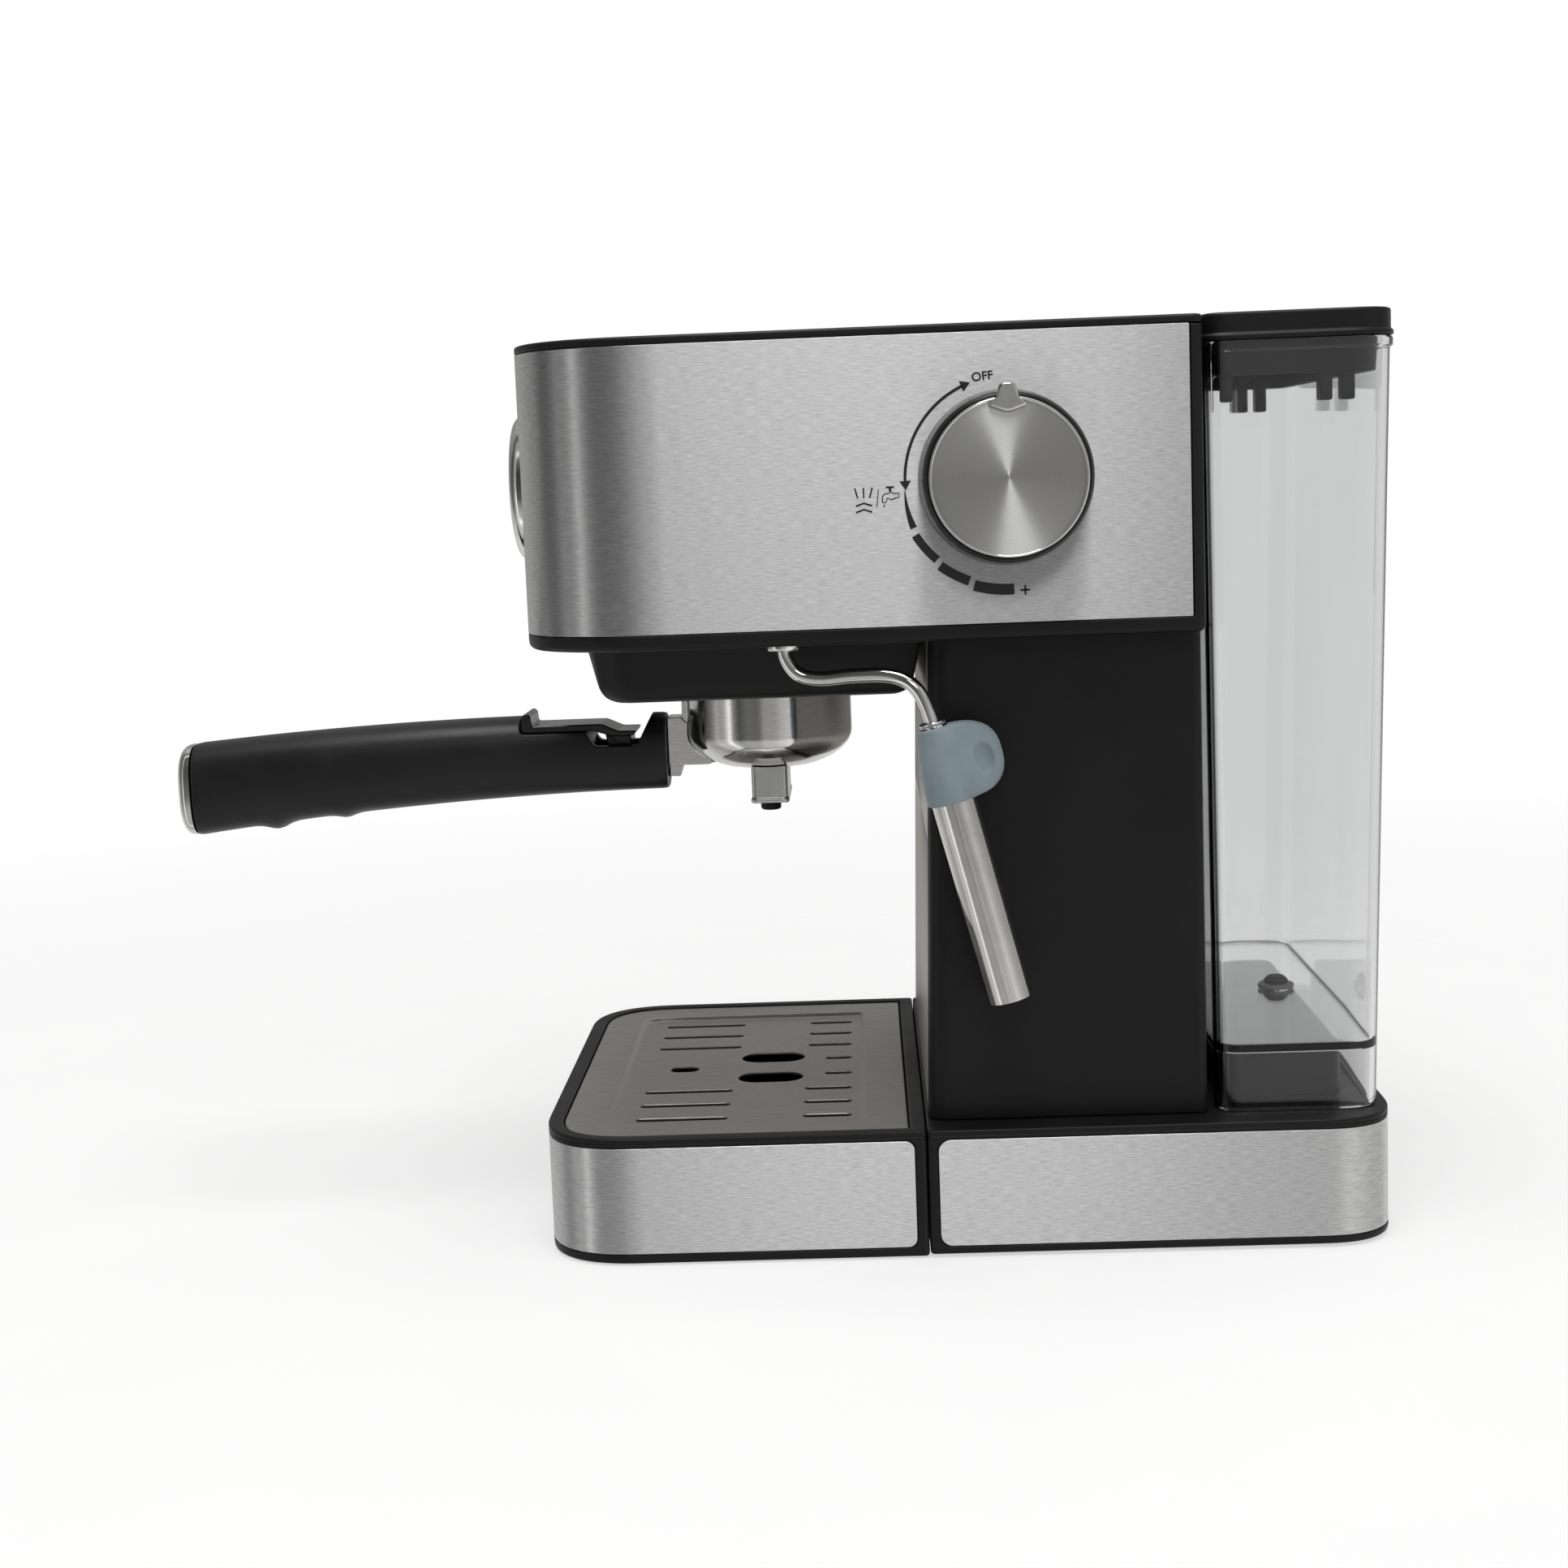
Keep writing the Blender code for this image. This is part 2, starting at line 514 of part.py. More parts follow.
WAND_ROUTE = ((WAND_X, WAND_Y, 216.0), (WAND_X, WAND_Y, 208.0), (WAND_X, WAND_Y + 0.5, 202.0),
              (WAND_X + 0.6, WAND_Y + 4.5, 196.2), (WAND_X + 2.0, WAND_Y + 12.0, 194.4),
              (WAND_X + 5.0, WAND_Y + 24.0, 195.3), (WAND_X + 8.0, WAND_Y + 36.0, 194.8),
              (WAND_X + 10.5, WAND_Y + 43.6, 190.0))
SLEEVE_TOP = Vector((98.4, 142.4, 153.8))
SLEEVE_DOWN = Vector((0.0, 16.6, -66.2)).normalized()
SLEEVE_LENGTH = 68.4
SLEEVE_RADIUS = 7.6
GRIP_HEIGHT = 25.0
GRIP_RADIUS = 8.9  # at its foot
TAB_REACH = 19.4


def on_sleeve(along):
    """The point on the wand's own axis, measured down from the sleeve's visible top."""
    return SLEEVE_TOP + SLEEVE_DOWN * along


def grip_section(along):
    """Half width of the grip's round body, and the reach of its tab, at a place along the wand."""
    radius = GRIP_RADIUS - 3.3 * (-along / GRIP_HEIGHT) ** 1.6
    share = min(abs(2 * along / GRIP_HEIGHT + 1), 1.0)
    return radius, radius + (TAB_REACH - radius) * math.sqrt(1 - share ** 2.6)


def grip_body():
    """Tapered grip that swells out into a thumb tab behind it. Each section joins two circles."""
    back = Vector((0.0, -SLEEVE_DOWN.z, SLEEVE_DOWN.y))
    sideways = Vector((1.0, 0.0, 0.0))
    edge = 3.3
    steps = 12
    loops = []
    for i in range(steps + 1):
        along = -GRIP_HEIGHT / 2 * (1 + math.cos(math.pi * i / steps))
        radius, reach = grip_section(along)
        far = max(reach - edge, radius - edge + 0.05)
        lean = math.degrees(math.acos((radius - edge) / far))
        outline = arc(0.0, 0.0, radius, lean, 360 - lean, 18) + arc(far, 0.0, edge, -lean, lean, 6)
        loops.append([on_sleeve(along) + back * u + sideways * v for u, v in outline])
    return loft(loops)


def steam_wand():
    """Bent pipe, collar, silicone grip with its tab, steel sleeve and nozzle."""
    origin = (WAND_X, WAND_Y, HEAD_Z)
    nut = [(2.9, -2.0), (5.6, -2.0), (6.0, -1.2), (6.0, 8.0), (2.9, 8.0)]
    add("wand_swivel_nut", turned(nut, origin, segments=SMALL_SEGMENTS), "chrome")
    route = smooth_path(WAND_ROUTE + (on_sleeve(-GRIP_HEIGHT), on_sleeve(-8.0)), 2)
    pieces = [add("wand_pipe", tube(route + [on_sleeve(SLEEVE_LENGTH - 9.0)], 2.4, 10), "chrome", origin)]
    collar = [(2.7, -GRIP_HEIGHT - 2.0), (4.1, -GRIP_HEIGHT - 2.0), (4.6, -GRIP_HEIGHT - 1.0),
              (4.6, -GRIP_HEIGHT + 1.4), (2.7, -GRIP_HEIGHT + 1.4)]
    pieces.append(add("wand_collar", turned(collar, SLEEVE_TOP, SLEEVE_DOWN, 16), "chrome", origin))
    grip = add("wand_grip", grip_body(), "silicone", origin)
    hollow = [(0.0, -26.0), (4.9, -26.0), (4.9, -GRIP_HEIGHT + 1.7), (2.7, -GRIP_HEIGHT + 1.7), (2.7, -9.0),
              (7.9, -9.0), (7.9, 1.0), (0.0, 1.0)]
    cut(grip, "grip_hollow", turned(hollow, SLEEVE_TOP, SLEEVE_DOWN, 24))
    pieces.append(grip)
    sleeve = [(SLEEVE_RADIUS - 0.8, -8.4), (SLEEVE_RADIUS, -8.4), (SLEEVE_RADIUS, SLEEVE_LENGTH - 0.4),
              (SLEEVE_RADIUS - 0.3, SLEEVE_LENGTH), (SLEEVE_RADIUS - 0.8, SLEEVE_LENGTH)]
    pieces.append(add("wand_sleeve", turned(sleeve, SLEEVE_TOP, SLEEVE_DOWN, 24), "brushed_steel", origin))
    nozzle = [(1.0, 60.0), (4.2, 60.0), (4.2, 64.0), (2.6, 67.0), (1.0, 67.0)]
    pieces.append(add("wand_nozzle", turned(nozzle, SLEEVE_TOP, SLEEVE_DOWN, SMALL_SEGMENTS), "cast_metal", origin))
    return pieces


# ---------------------------------------------------------------- portafilter

HANDLE_INNER_Y = 41.4
HANDLE_OUTER_Y = -133.4
CAP_TIP_Y = -140.2
HANDLE_SECTIONS = 22
ARM_Y = HANDLE_INNER_Y + GAP  # where the bowl's arm meets the handle
STUD_Z = 155.2


def handle_levels(y):
    """Top and bottom heights of the handle at y: an arch that droops towards its outer end."""
    out = (HANDLE_INNER_Y - y) / (HANDLE_INNER_Y - HANDLE_OUTER_Y)
    top = 176.3 + 4.2 * out - 9.6 * out ** 2
    bottom = 148.5 - 0.6 * out - 11.0 * out ** 2
    return top, bottom


def handle_section(y, shrink=0.0):
    """One loop of the handle, a rounded rectangle with two finger bumps under its outer third."""
    top, bottom = handle_levels(y)
    half_height = (top - bottom) / 2 - shrink
    out = (HANDLE_INNER_Y - y) / (HANDLE_INNER_Y - HANDLE_OUTER_Y)
    half_width = 12.6 + 2.2 * math.sin(math.pi * min(out * 0.8, 1.0)) - shrink
    bump = 2.2 * math.exp(-((y + 104.2) / 4.6) ** 2) + 1.3 * math.exp(-((y + 78.4) / 3.6) ** 2)
    loop = []
    for i in range(16):
        angle = 2 * math.pi * i / 16
        side, up = math.cos(angle), math.sin(angle)
        x = half_width * math.copysign(abs(side) ** 0.72, side)
        z = (top + bottom) / 2 + half_height * math.copysign(abs(up) ** 0.72, up)
        if up < 0:
            z -= bump * abs(up) ** 6
        loop.append((x, y, z))
    return loop


def portafilter_handle(origin):
    """Black handle, cut away on top for the basket clip, and its chrome end cap."""
    span = HANDLE_OUTER_Y - HANDLE_INNER_Y
    stations = [HANDLE_INNER_Y + span * i / HANDLE_SECTIONS for i in range(HANDLE_SECTIONS + 1)]
    handle = add("portafilter_handle", loft([handle_section(y) for y in stations]), "black_plastic", origin)
    clip_bed = [(-11.8, 186.0), (-11.8, 172.4), (-10.6, 171.0), (12.6, 171.0), (15.4, 165.8), (31.0, 165.8),
                (36.3, 176.4), (36.3, 186.0)]
    cut(handle, "clip_bed", prism(clip_bed, 20.0))
    pocket = [(14.0, 172.0), (14.0, 158.4), (30.6, 158.4), (30.6, 172.0)]
    cut(handle, "clip_pocket", prism(pocket, 8.4))
    cut(handle, "pin_bore", disc(1.9, -11.2, 22.4, (0.0, CLIP_Y, CLIP_Z), (1, 0, 0), SMALL_SEGMENTS))
    cut(handle, "stud_bore", disc(2.6, -3.0, 78.0, (0.0, HANDLE_INNER_Y, STUD_Z), (0, -1, 0), SMALL_SEGMENTS))
    cap_steps = ((-0.4, 0.4), (-3.4, 0.9), (-5.2, 2.6), (-6.4, 6.0))
    cap = []
    for away, shrink in cap_steps:
        loop = handle_section(HANDLE_OUTER_Y, shrink)
        cap.append([(x, HANDLE_OUTER_Y + away, z) for x, _, z in loop])
    end_cap = add("handle_end_cap", loft(cap), "chrome", origin)
    pin = disc(1.5, -10.8, 21.6, (0.0, CLIP_Y, CLIP_Z), (1, 0, 0), SMALL_SEGMENTS)
    return [handle, end_cap, add("clip_pin", pin, "cast_metal", origin)]


def basket_clip():
    """Lever on top of the handle that swings over to hold the basket, with its hinge lug."""
    side = [(-11.4, 172.2), (-10.4, 171.3), (15.0, 171.3), (22.0, 169.3), (30.0, 169.3), (30.8, 171.1),
            (24.2, 171.2), (18.3, 173.9), (-7.3, 173.9), (-7.6, 177.6), (-9.0, 178.7), (-10.6, 177.9)]
    clip = add("basket_clip", prism(side, 11.0), "gloss_black", (0.0, CLIP_Y, CLIP_Z))
    lug = [(19.0, 170.8), (20.6, 161.8), (23.0, 159.8), (27.0, 159.8), (29.0, 161.8), (28.4, 170.2)]
    fuse(clip, "clip_lug", prism(lug, 7.8))
    return cut(clip, "clip_bore", disc(1.8, -12.0, 24.0, (0.0, CLIP_Y, CLIP_Z), (1, 0, 0), SMALL_SEGMENTS))


def portafilter():
    """Bowl with its bayonet lugs and stud, the basket in it, the double spout under it and the handle."""
    origin = (0.0, GROUP_Y, HOUSING_Z)
    base = (0.0, GROUP_Y, 0.0)
    cup = [(3.7, 155.6), (9.0, 155.6), (17.0, 156.6), (23.0, 159.0), (27.6, 162.2), (30.3, 166.2),
           (30.3, 195.4), (28.9, 195.4), (28.9, 168.0), (24.0, 162.6), (3.7, 158.6)]
    bowl = add("portafilter_bowl", turned(cup, base), "chrome", origin)
    lugs = bmesh.new()
    for turn in (-90.0, 30.0, 150.0):
        edge = [math.radians(turn + 13.0 * k / 2) for k in range(-2, 3)]
        outer = [(35.3 * math.cos(a), GROUP_Y + 35.3 * math.sin(a)) for a in edge]
        inner = [(29.4 * math.cos(a), GROUP_Y + 29.4 * math.sin(a)) for a in reversed(edge)]
        loft([[(x, y, z) for x, y in outer + inner] for z in (189.4, 193.2)], bm=lugs)
    fuse(bowl, "bayonet_lugs", lugs)
    arm = [(ARM_Y, 174.9), (49.8, 174.9), (49.8, 166.0), (59.4, 159.6), (59.4, 158.2), (56.5, 157.2),
           (ARM_Y, 157.2)]
    fuse(bowl, "bowl_arm", prism(arm, 6.0))
    fuse(bowl, "bowl_collar", prism([(47.4, 181.0), (49.8, 181.0), (49.8, 172.6), (47.4, 174.0)], 7.0))
    stud = disc(2.2, 0.0, 70.0, (0.0, 45.3, STUD_Z), (0, -1, 0), SMALL_SEGMENTS)
    link = prism([(ARM_Y, 158.0), (47.4, 158.0), (45.7, 152.8), (ARM_Y, 152.8)], 3.0)
    fuse(bowl, "bowl_link", link)
    fuse(bowl, "bowl_stud", stud)

    basket = [(0.0, 172.0), (24.6, 172.0), (26.4, 174.0), (28.4, 193.0), (28.4, 195.8), (30.2, 195.8),
              (30.2, 196.6), (27.7, 196.6), (27.7, 193.0), (25.8, 174.8), (24.2, 172.8), (0.0, 172.8)]
    cup_in = add("filter_basket", turned(basket, base, segments=24), "chrome", origin)
    block = Outline(19.0, GROUP_Y - 6.95, GROUP_Y + 6.95, 1.8, 1.8)
    spout = add("spout", stack(block, [(0.8, 143.8), (0.0, 144.6), (0.0, 158.4)]), "chrome", origin)
    underside = [(0.0, 155.3), (9.0, 155.3), (17.0, 156.3), (23.0, 158.7), (27.6, 161.9), (0.0, 161.9)]
    cut(spout, "spout_saddle", turned(underside, base))
    neck = [(0.0, 153.0), (3.3, 153.0), (3.3, 161.0), (0.0, 161.0)]
    fuse(spout, "spout_neck", turned(neck, base, segments=SMALL_SEGMENTS))
    pieces = [bowl, cup_in, spout]
    for name, x in (("spout_nozzle_left", -12.0), ("spout_nozzle_right", 12.0)):
        nozzle = [(2.2, 140.8), (3.2, 140.8), (3.7, 141.4), (3.7, 143.5), (2.2, 143.5)]
        spot = (x, GROUP_Y, 0.0)
        pieces.append(add(name, turned(nozzle, spot, segments=SMALL_SEGMENTS), "black_plastic", origin))
    return pieces + portafilter_handle(origin)


# ---------------------------------------------------------------- water tank


def tank_ring(inset, z):
    """A loop of the tank, which widens a little towards its rim."""
    share = (z - DECK_Z) / (TANK_RIM_Z - DECK_Z)
    return ring(between(TANK_FOOT, TANK_TOP, share), inset, z)


def water_tank():
    """Clear tank with its floor above the skirt it stands on, its valve, and the dock under it."""
    low = DECK_Z + GAP
    wall = 2.2
    levels = [(wall, TANK_FLOOR_Z - wall), (wall, low), (0.0, low), (0.0, TANK_RIM_Z - 3.8),
              (-1.0, TANK_RIM_Z - 3.0), (-1.0, TANK_RIM_Z - 0.4), (-0.6, TANK_RIM_Z), (wall, TANK_RIM_Z),
              (wall, TANK_FLOOR_Z)]
    body = add("tank_body", loft([tank_ring(inset, z) for inset, z in levels]), "clear_plastic")
    spot = (0.0, VALVE_Y, 0.0)
    cut(body, "tank_outlet", disc(4.6, TANK_FLOOR_Z - 8.0, 16.0, spot, (0, 0, 1), SMALL_SEGMENTS))
    seat = [(1.9, 54.0), (4.2, 54.0), (4.2, TANK_FLOOR_Z + GAP), (6.6, TANK_FLOOR_Z + GAP),
            (6.6, TANK_FLOOR_Z + 1.8), (1.9, TANK_FLOOR_Z + 1.8)]
    ring_seat = add("tank_valve_seat", turned(seat, spot, segments=SMALL_SEGMENTS), "seal_grey")
    top = TANK_FLOOR_Z + 2.1
    stem = [(0.0, 50.0), (1.6, 50.0), (1.6, top), (4.4, top), (4.4, top + 1.0), (3.0, top + 2.4), (0.0, top + 3.0)]
    plunger = add("tank_valve_plunger", turned(stem, spot, segments=SMALL_SEGMENTS), "rubber",
                  (0.0, VALVE_Y, TANK_FLOOR_Z))
    bar = [(290.0, 296.9), (290.0, 290.6), (294.4, 290.6), (294.4, 296.9)]
    bracket = add("lid_hinge_bracket", prism(bar, 42.0), "black_plastic")
    pin = disc(1.6, -48.0, 96.0, (0.0, LID_HINGE_Y, LID_HINGE_Z), (1, 0, 0), SMALL_SEGMENTS)
    fuse(bracket, "lid_hinge_pin", pin)
    dock = Outline(70.0, 233.0, 273.0, 5.0, 5.0)
    block = add("tank_dock", stack(dock, [(0.0, low), (0.0, 58.4), (1.4, 60.0)]), "black_plastic")
    cut(block, "dock_bore", disc(7.5, 46.0, 20.0, spot, (0, 0, 1), SMALL_SEGMENTS))
    return [body, ring_seat, bracket], plunger


def tank_lid():
    """Lid with a rim that drops into the tank, hinge arms behind it and retaining tabs inside."""
    low = TANK_RIM_Z + GAP
    rim_z = 287.4
    levels = [(7.0, low + 1.6), (7.0, rim_z), (5.8, rim_z), (5.0, low), (0.0, low), (0.0, LID_TOP_Z - 1.6),
              (0.5, LID_TOP_Z - 0.5), (1.8, LID_TOP_Z)]
    lid = add("tank_lid", stack(LID, levels), "black_plastic", (0.0, LID_HINGE_Y, LID_HINGE_Z))
    arms = bmesh.new()
    for side in (-1, 1):
        x = side * 46.3
        knuckle = [(290.2, 300.4), (288.0, 300.4), (288.0, 302.4), (294.6, 302.4), (294.6, 291.2), (290.2, 291.2)]
        loft([[(x + half, y, z) for y, z in knuckle] for half in (-3.8, 3.8)], bm=arms)
    fuse(lid, "hinge_arms", arms)
    bores = disc(1.9, -60.0, 120.0, (0.0, LID_HINGE_Y, LID_HINGE_Z), (1, 0, 0), SMALL_SEGMENTS)
    cut(lid, "hinge_bores", bores)
    tabs = bmesh.new()
    for side in (-1, 1):
        for start, end, bottom in ((232.5, 237.0, 279.0), (264.0, 276.0, 278.5)):
            x = side * 82.0
            tab = [(start, 292.0), (start, bottom), (end, bottom), (end, 292.0)]
            loft([[(x + half, y, z) for y, z in tab] for half in (-4.2, 4.2)], bm=tabs)
    fuse(lid, "retaining_tabs", tabs)
    return lid


# ---------------------------------------------------------------- assembly


def pivot(name, where, members, parent=None):
    """An empty on a joint's axis, with the pieces that move with it as its children."""
    empty = bpy.data.objects.new(name, None)
    empty.empty_display_size = 0.02
    bpy.context.scene.collection.objects.link(empty)
    centre = Vector(where) * MM
    empty["centre"] = centre
    empty.location = centre
    if parent:
        empty.parent = parent
        empty.location = centre - Vector(parent["centre"])
    for obj in members:
        tools = [m.object for m in obj.modifiers if m.type == "BOOLEAN"]
        for child in [obj, *tools]:
            child.parent = empty
            child.location = child.location - centre
    return empty


def assemble():
    rear_base()
    tray = drip_tray()
    plate = drip_plate()
    column()
    head()
    group_housing()
    brewing_group()
    tray_slide = pivot("drip_tray_slide", (0.0, SEAM_Y, 0.0), tray)
    pivot("drip_plate_lift", (0.0, 65.0, PLATE_Z), [plate], tray_slide)
    for button in buttons():
        pivot(f"{button.name}_slide", button.location / MM, [button])
    pivot("gauge_needle_axis", NEEDLE_CENTRE, [pressure_gauge()])
    pivot("steam_knob_axis", (HALF, KNOB_Y, KNOB_Z), steam_knob())
    pivot("steam_wand_axis", (WAND_X, WAND_Y, HEAD_Z), steam_wand())
    filter_axis = pivot("portafilter_axis", (0.0, GROUP_Y, HOUSING_Z), portafilter())
    pivot("basket_clip_axis", (0.0, CLIP_Y, CLIP_Z), [basket_clip()], filter_axis)
    tank, plunger = water_tank()
    tank_lift = pivot("water_tank_lift", (0.0, 256.0, DECK_Z), tank)
    pivot("valve_plunger_slide", (0.0, VALVE_Y, TANK_FLOOR_Z), [plunger], tank_lift)
    pivot("tank_lid_axis", (0.0, LID_HINGE_Y, LID_HINGE_Z), [tank_lid()], tank_lift)


def centre_on_footprint():
    """Moves the machine so that the origin is the middle of its bounding box, at the counter."""
    bpy.context.view_layer.update()
    graph = bpy.context.evaluated_depsgraph_get()
    corner_points = []
    for obj in bpy.context.scene.objects:
        if obj.type == "MESH" and not obj.hide_render:
            shaped = obj.evaluated_get(graph)
            corner_points += [shaped.matrix_world @ Vector(corner) for corner in shaped.bound_box]
    low = [min(p[axis] for p in corner_points) for axis in range(3)]
    high = [max(p[axis] for p in corner_points) for axis in range(3)]
    shift = Vector(((low[0] + high[0]) / 2, (low[1] + high[1]) / 2, low[2]))
    for obj in bpy.context.scene.objects:
        if obj.parent is None:
            obj.location -= shift


for old in list(bpy.data.objects):
    bpy.data.objects.remove(old, do_unlink=True)
assemble()
centre_on_footprint()
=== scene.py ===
"""Looks of the espresso machine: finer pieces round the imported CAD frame, and the materials of all of them.

Lengths below are millimetres in the machine's own frame. X = 0 is the middle of the head, Y = 0 its front and
Z = 0 the counter. HOME is that point in the frame's metres, and every new piece has its origin there.
"""

import math
from collections import namedtuple

import bmesh
import bpy
from mathutils import Matrix, Vector


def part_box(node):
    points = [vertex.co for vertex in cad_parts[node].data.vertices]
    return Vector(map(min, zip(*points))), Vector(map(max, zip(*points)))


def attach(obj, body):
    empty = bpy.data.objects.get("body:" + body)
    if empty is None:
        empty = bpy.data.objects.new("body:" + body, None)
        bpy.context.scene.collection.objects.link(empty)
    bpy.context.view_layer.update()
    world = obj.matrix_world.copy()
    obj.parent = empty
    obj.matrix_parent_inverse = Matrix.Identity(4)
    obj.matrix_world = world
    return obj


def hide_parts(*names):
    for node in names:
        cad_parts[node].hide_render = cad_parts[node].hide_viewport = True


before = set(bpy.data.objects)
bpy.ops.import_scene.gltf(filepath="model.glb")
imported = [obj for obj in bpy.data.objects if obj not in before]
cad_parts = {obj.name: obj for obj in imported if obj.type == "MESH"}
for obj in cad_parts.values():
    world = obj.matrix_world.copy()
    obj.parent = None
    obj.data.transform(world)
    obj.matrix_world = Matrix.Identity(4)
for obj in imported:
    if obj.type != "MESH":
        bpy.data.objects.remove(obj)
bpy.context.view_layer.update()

MM = 0.001
GAP = 0.3
SKIN = 0.5  # thickness of the steel bands
CORNER_STEPS = 20
SQUARENESS = 2.57  # exponent of the corners' curve, 2 for a circle
EASE = 1.238  # how much longer than a circle's radius such a corner is
SEGMENTS = 96
SMALL_SEGMENTS = 40
KNOB_SEGMENTS = 128
LEAST_RADIUS = 0.8  # of a corner that is moved inwards
CORNER_SHARE = 0.45  # most of a short side that a softened corner may take up
SEAM = 0.2  # half the width of the fine groove round the base and the tray
X_OUT = (1, 0, 0)
Y_OUT = (0, 1, 0)
FORWARD = (0, -1, 0)
Z_UP = (0.0, 0.0, 1.0)

head_low, head_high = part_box("head_chassis")
HOME = Vector(((head_low.x + head_high.x) / 2, head_low.y, 0.0))


def span(node):
    """Lowest and highest corner of a CAD node, in the machine's millimetres."""
    low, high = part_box(node)
    return (low - HOME) / MM, (high - HOME) / MM


def centre(node):
    low, high = span(node)
    return (low + high) / 2


Outline = namedtuple("Outline", "half front rear front_radius rear_radius")


def outline_of(node, front_radius, rear_radius):
    """The rounded rectangle that a CAD node fills in plan."""
    low, high = span(node)
    return Outline((high.x - low.x) / 2, low.y, high.y, front_radius, rear_radius)


BASE = outline_of("base_tub", 1.5, 22.0)
TRAY = outline_of("tray_tub", 28.0, 1.5)
HEAD = outline_of("head_chassis", 42.0, 2.5)
HOUSING = outline_of("group_housing", 16.0, 2.5)
COLUMN_FOOT = outline_of("column_shell", 6.0, 3.0)
COLUMN_LEAN = 4.6
COLUMN_TOP = COLUMN_FOOT._replace(front=COLUMN_FOOT.front + COLUMN_LEAN)
RIM_BEAD = 1.0  # how far the tank's rim stands out of its walls
TANK_TOP = Outline(span("tank_body")[1].x - RIM_BEAD, 226.6, 288.4, 8.0, 12.0)
TANK_FOOT = Outline(TANK_TOP.half - 2.0, 228.0, 283.0, 8.0, 12.0)
LID = Outline(span("tank_lid")[1].x, span("tank_lid")[0].y, 289.6, 9.0, 13.0)

BASE_BOTTOM_Z = span("base_tub")[0].z
TRAY_BOTTOM_Z = span("tray_tub")[0].z
BAND_LOW_Z = span("base_steel_band")[0].z
BAND_HIGH_Z = span("base_steel_band")[1].z
DECK_Z = span("base_tub")[1].z
PLATE_Z = span("drip_plate")[1].z
HOUSING_Z = span("group_housing")[0].z
HEAD_Z = span("head_chassis")[0].z
HEAD_BAND_Z = span("head_steel_band")[0].z
COVER_Z = span("top_cover")[0].z
TOP_Z = span("top_cover")[1].z
TANK_FLOOR_Z = 66.0
SEAM_Z = 41.6
TANK_RIM_Z = span("tank_body")[1].z
LID_TOP_Z = span("tank_lid")[1].z

GROUP = Vector((0.0, centre("group_head").y, 0.0))
WAND = centre("wand_swivel_nut")
KNOB = Vector((HEAD.half, centre("steam_knob_body").y, centre("steam_knob_body").z))
GAUGE = Vector((0.0, 0.0, centre("gauge_bezel").z))
CLIP_PIN = Vector((0.0, *centre("clip_pin").yz))
LID_HINGE = Vector((0.0, 292.2, 293.5))
VALVE = Vector((0.0, centre("tank_valve_plunger").y, 0.0))


# ---------------------------------------------------------------- node helpers


def node(tree, kind, inputs=None, **settings):
    """Adds a shader node. An input is a value, or the output socket of another node."""
    made = tree.nodes.new(kind)
    for key, value in settings.items():
        setattr(made, key, value)
    for key, value in (inputs or {}).items():
        if isinstance(value, bpy.types.NodeSocket):
            tree.links.new(value, made.inputs[key])
        else:
            made.inputs[key].default_value = value
    return made


def blank(name, roughness, metallic=0.0, **sockets):
    """A material with its tree and its Principled shader. Constants go straight onto the shader's sockets."""
    material = bpy.data.materials.new(name)
    material.use_nodes = True
    tree = material.node_tree
    shader = tree.nodes["Principled BSDF"]
    shader.inputs["Roughness"].default_value = roughness
    shader.inputs["Metallic"].default_value = metallic
    for key, value in sockets.items():
        shader.inputs[key.replace("_", " ")].default_value = value
    return material, tree, shader


def millimetres(tree, stretch=(1.0, 1.0, 1.0)):
    """Object coordinates in millimetres, with each axis multiplied by stretch."""
    place = node(tree, "ShaderNodeTexCoord").outputs["Object"]
    scale = tuple(s / MM for s in stretch)
    return node(tree, "ShaderNodeMapping", {"Vector": place, "Scale": scale}).outputs["Vector"]


def noise(tree, vector, scale, detail=3.0, roughness=0.5):
    inputs = {"Vector": vector, "Scale": scale, "Detail": detail, "Roughness": roughness}
    return node(tree, "ShaderNodeTexNoise", inputs).outputs["Fac"]


def spread(tree, factor, low, high, start=0.3, stop=0.7):
    """Maps a texture's useful range from start to stop onto low to high."""
    inputs = {"Value": factor, "From Min": start, "From Max": stop, "To Min": low, "To Max": high}
    return node(tree, "ShaderNodeMapRange", inputs).outputs["Result"]


def shades(tree, factor, dark, light, start=0.3, stop=0.7):
    """A colour between dark and light, by a texture's factor."""
    ramp = node(tree, "ShaderNodeValToRGB", {"Fac": factor})
    ramp.color_ramp.elements[0].position = start
    ramp.color_ramp.elements[0].color = (*dark, 1.0)
    ramp.color_ramp.elements[1].position = stop
    ramp.color_ramp.elements[1].color = (*light, 1.0)
    return ramp.outputs["Color"]


def relief(tree, shader, height, strength, depth):
    """Bump of this depth in millimetres."""
    bump = node(tree, "ShaderNodeBump", {"Height": height, "Strength": strength, "Distance": depth * MM})
    tree.links.new(bump.outputs["Normal"], shader.inputs["Normal"])


def wire(tree, shader, colour=None, roughness=None):
    if colour is not None:
        tree.links.new(colour, shader.inputs["Base Color"])
    if roughness is not None:
        tree.links.new(roughness, shader.inputs["Roughness"])


# ---------------------------------------------------------------- materials


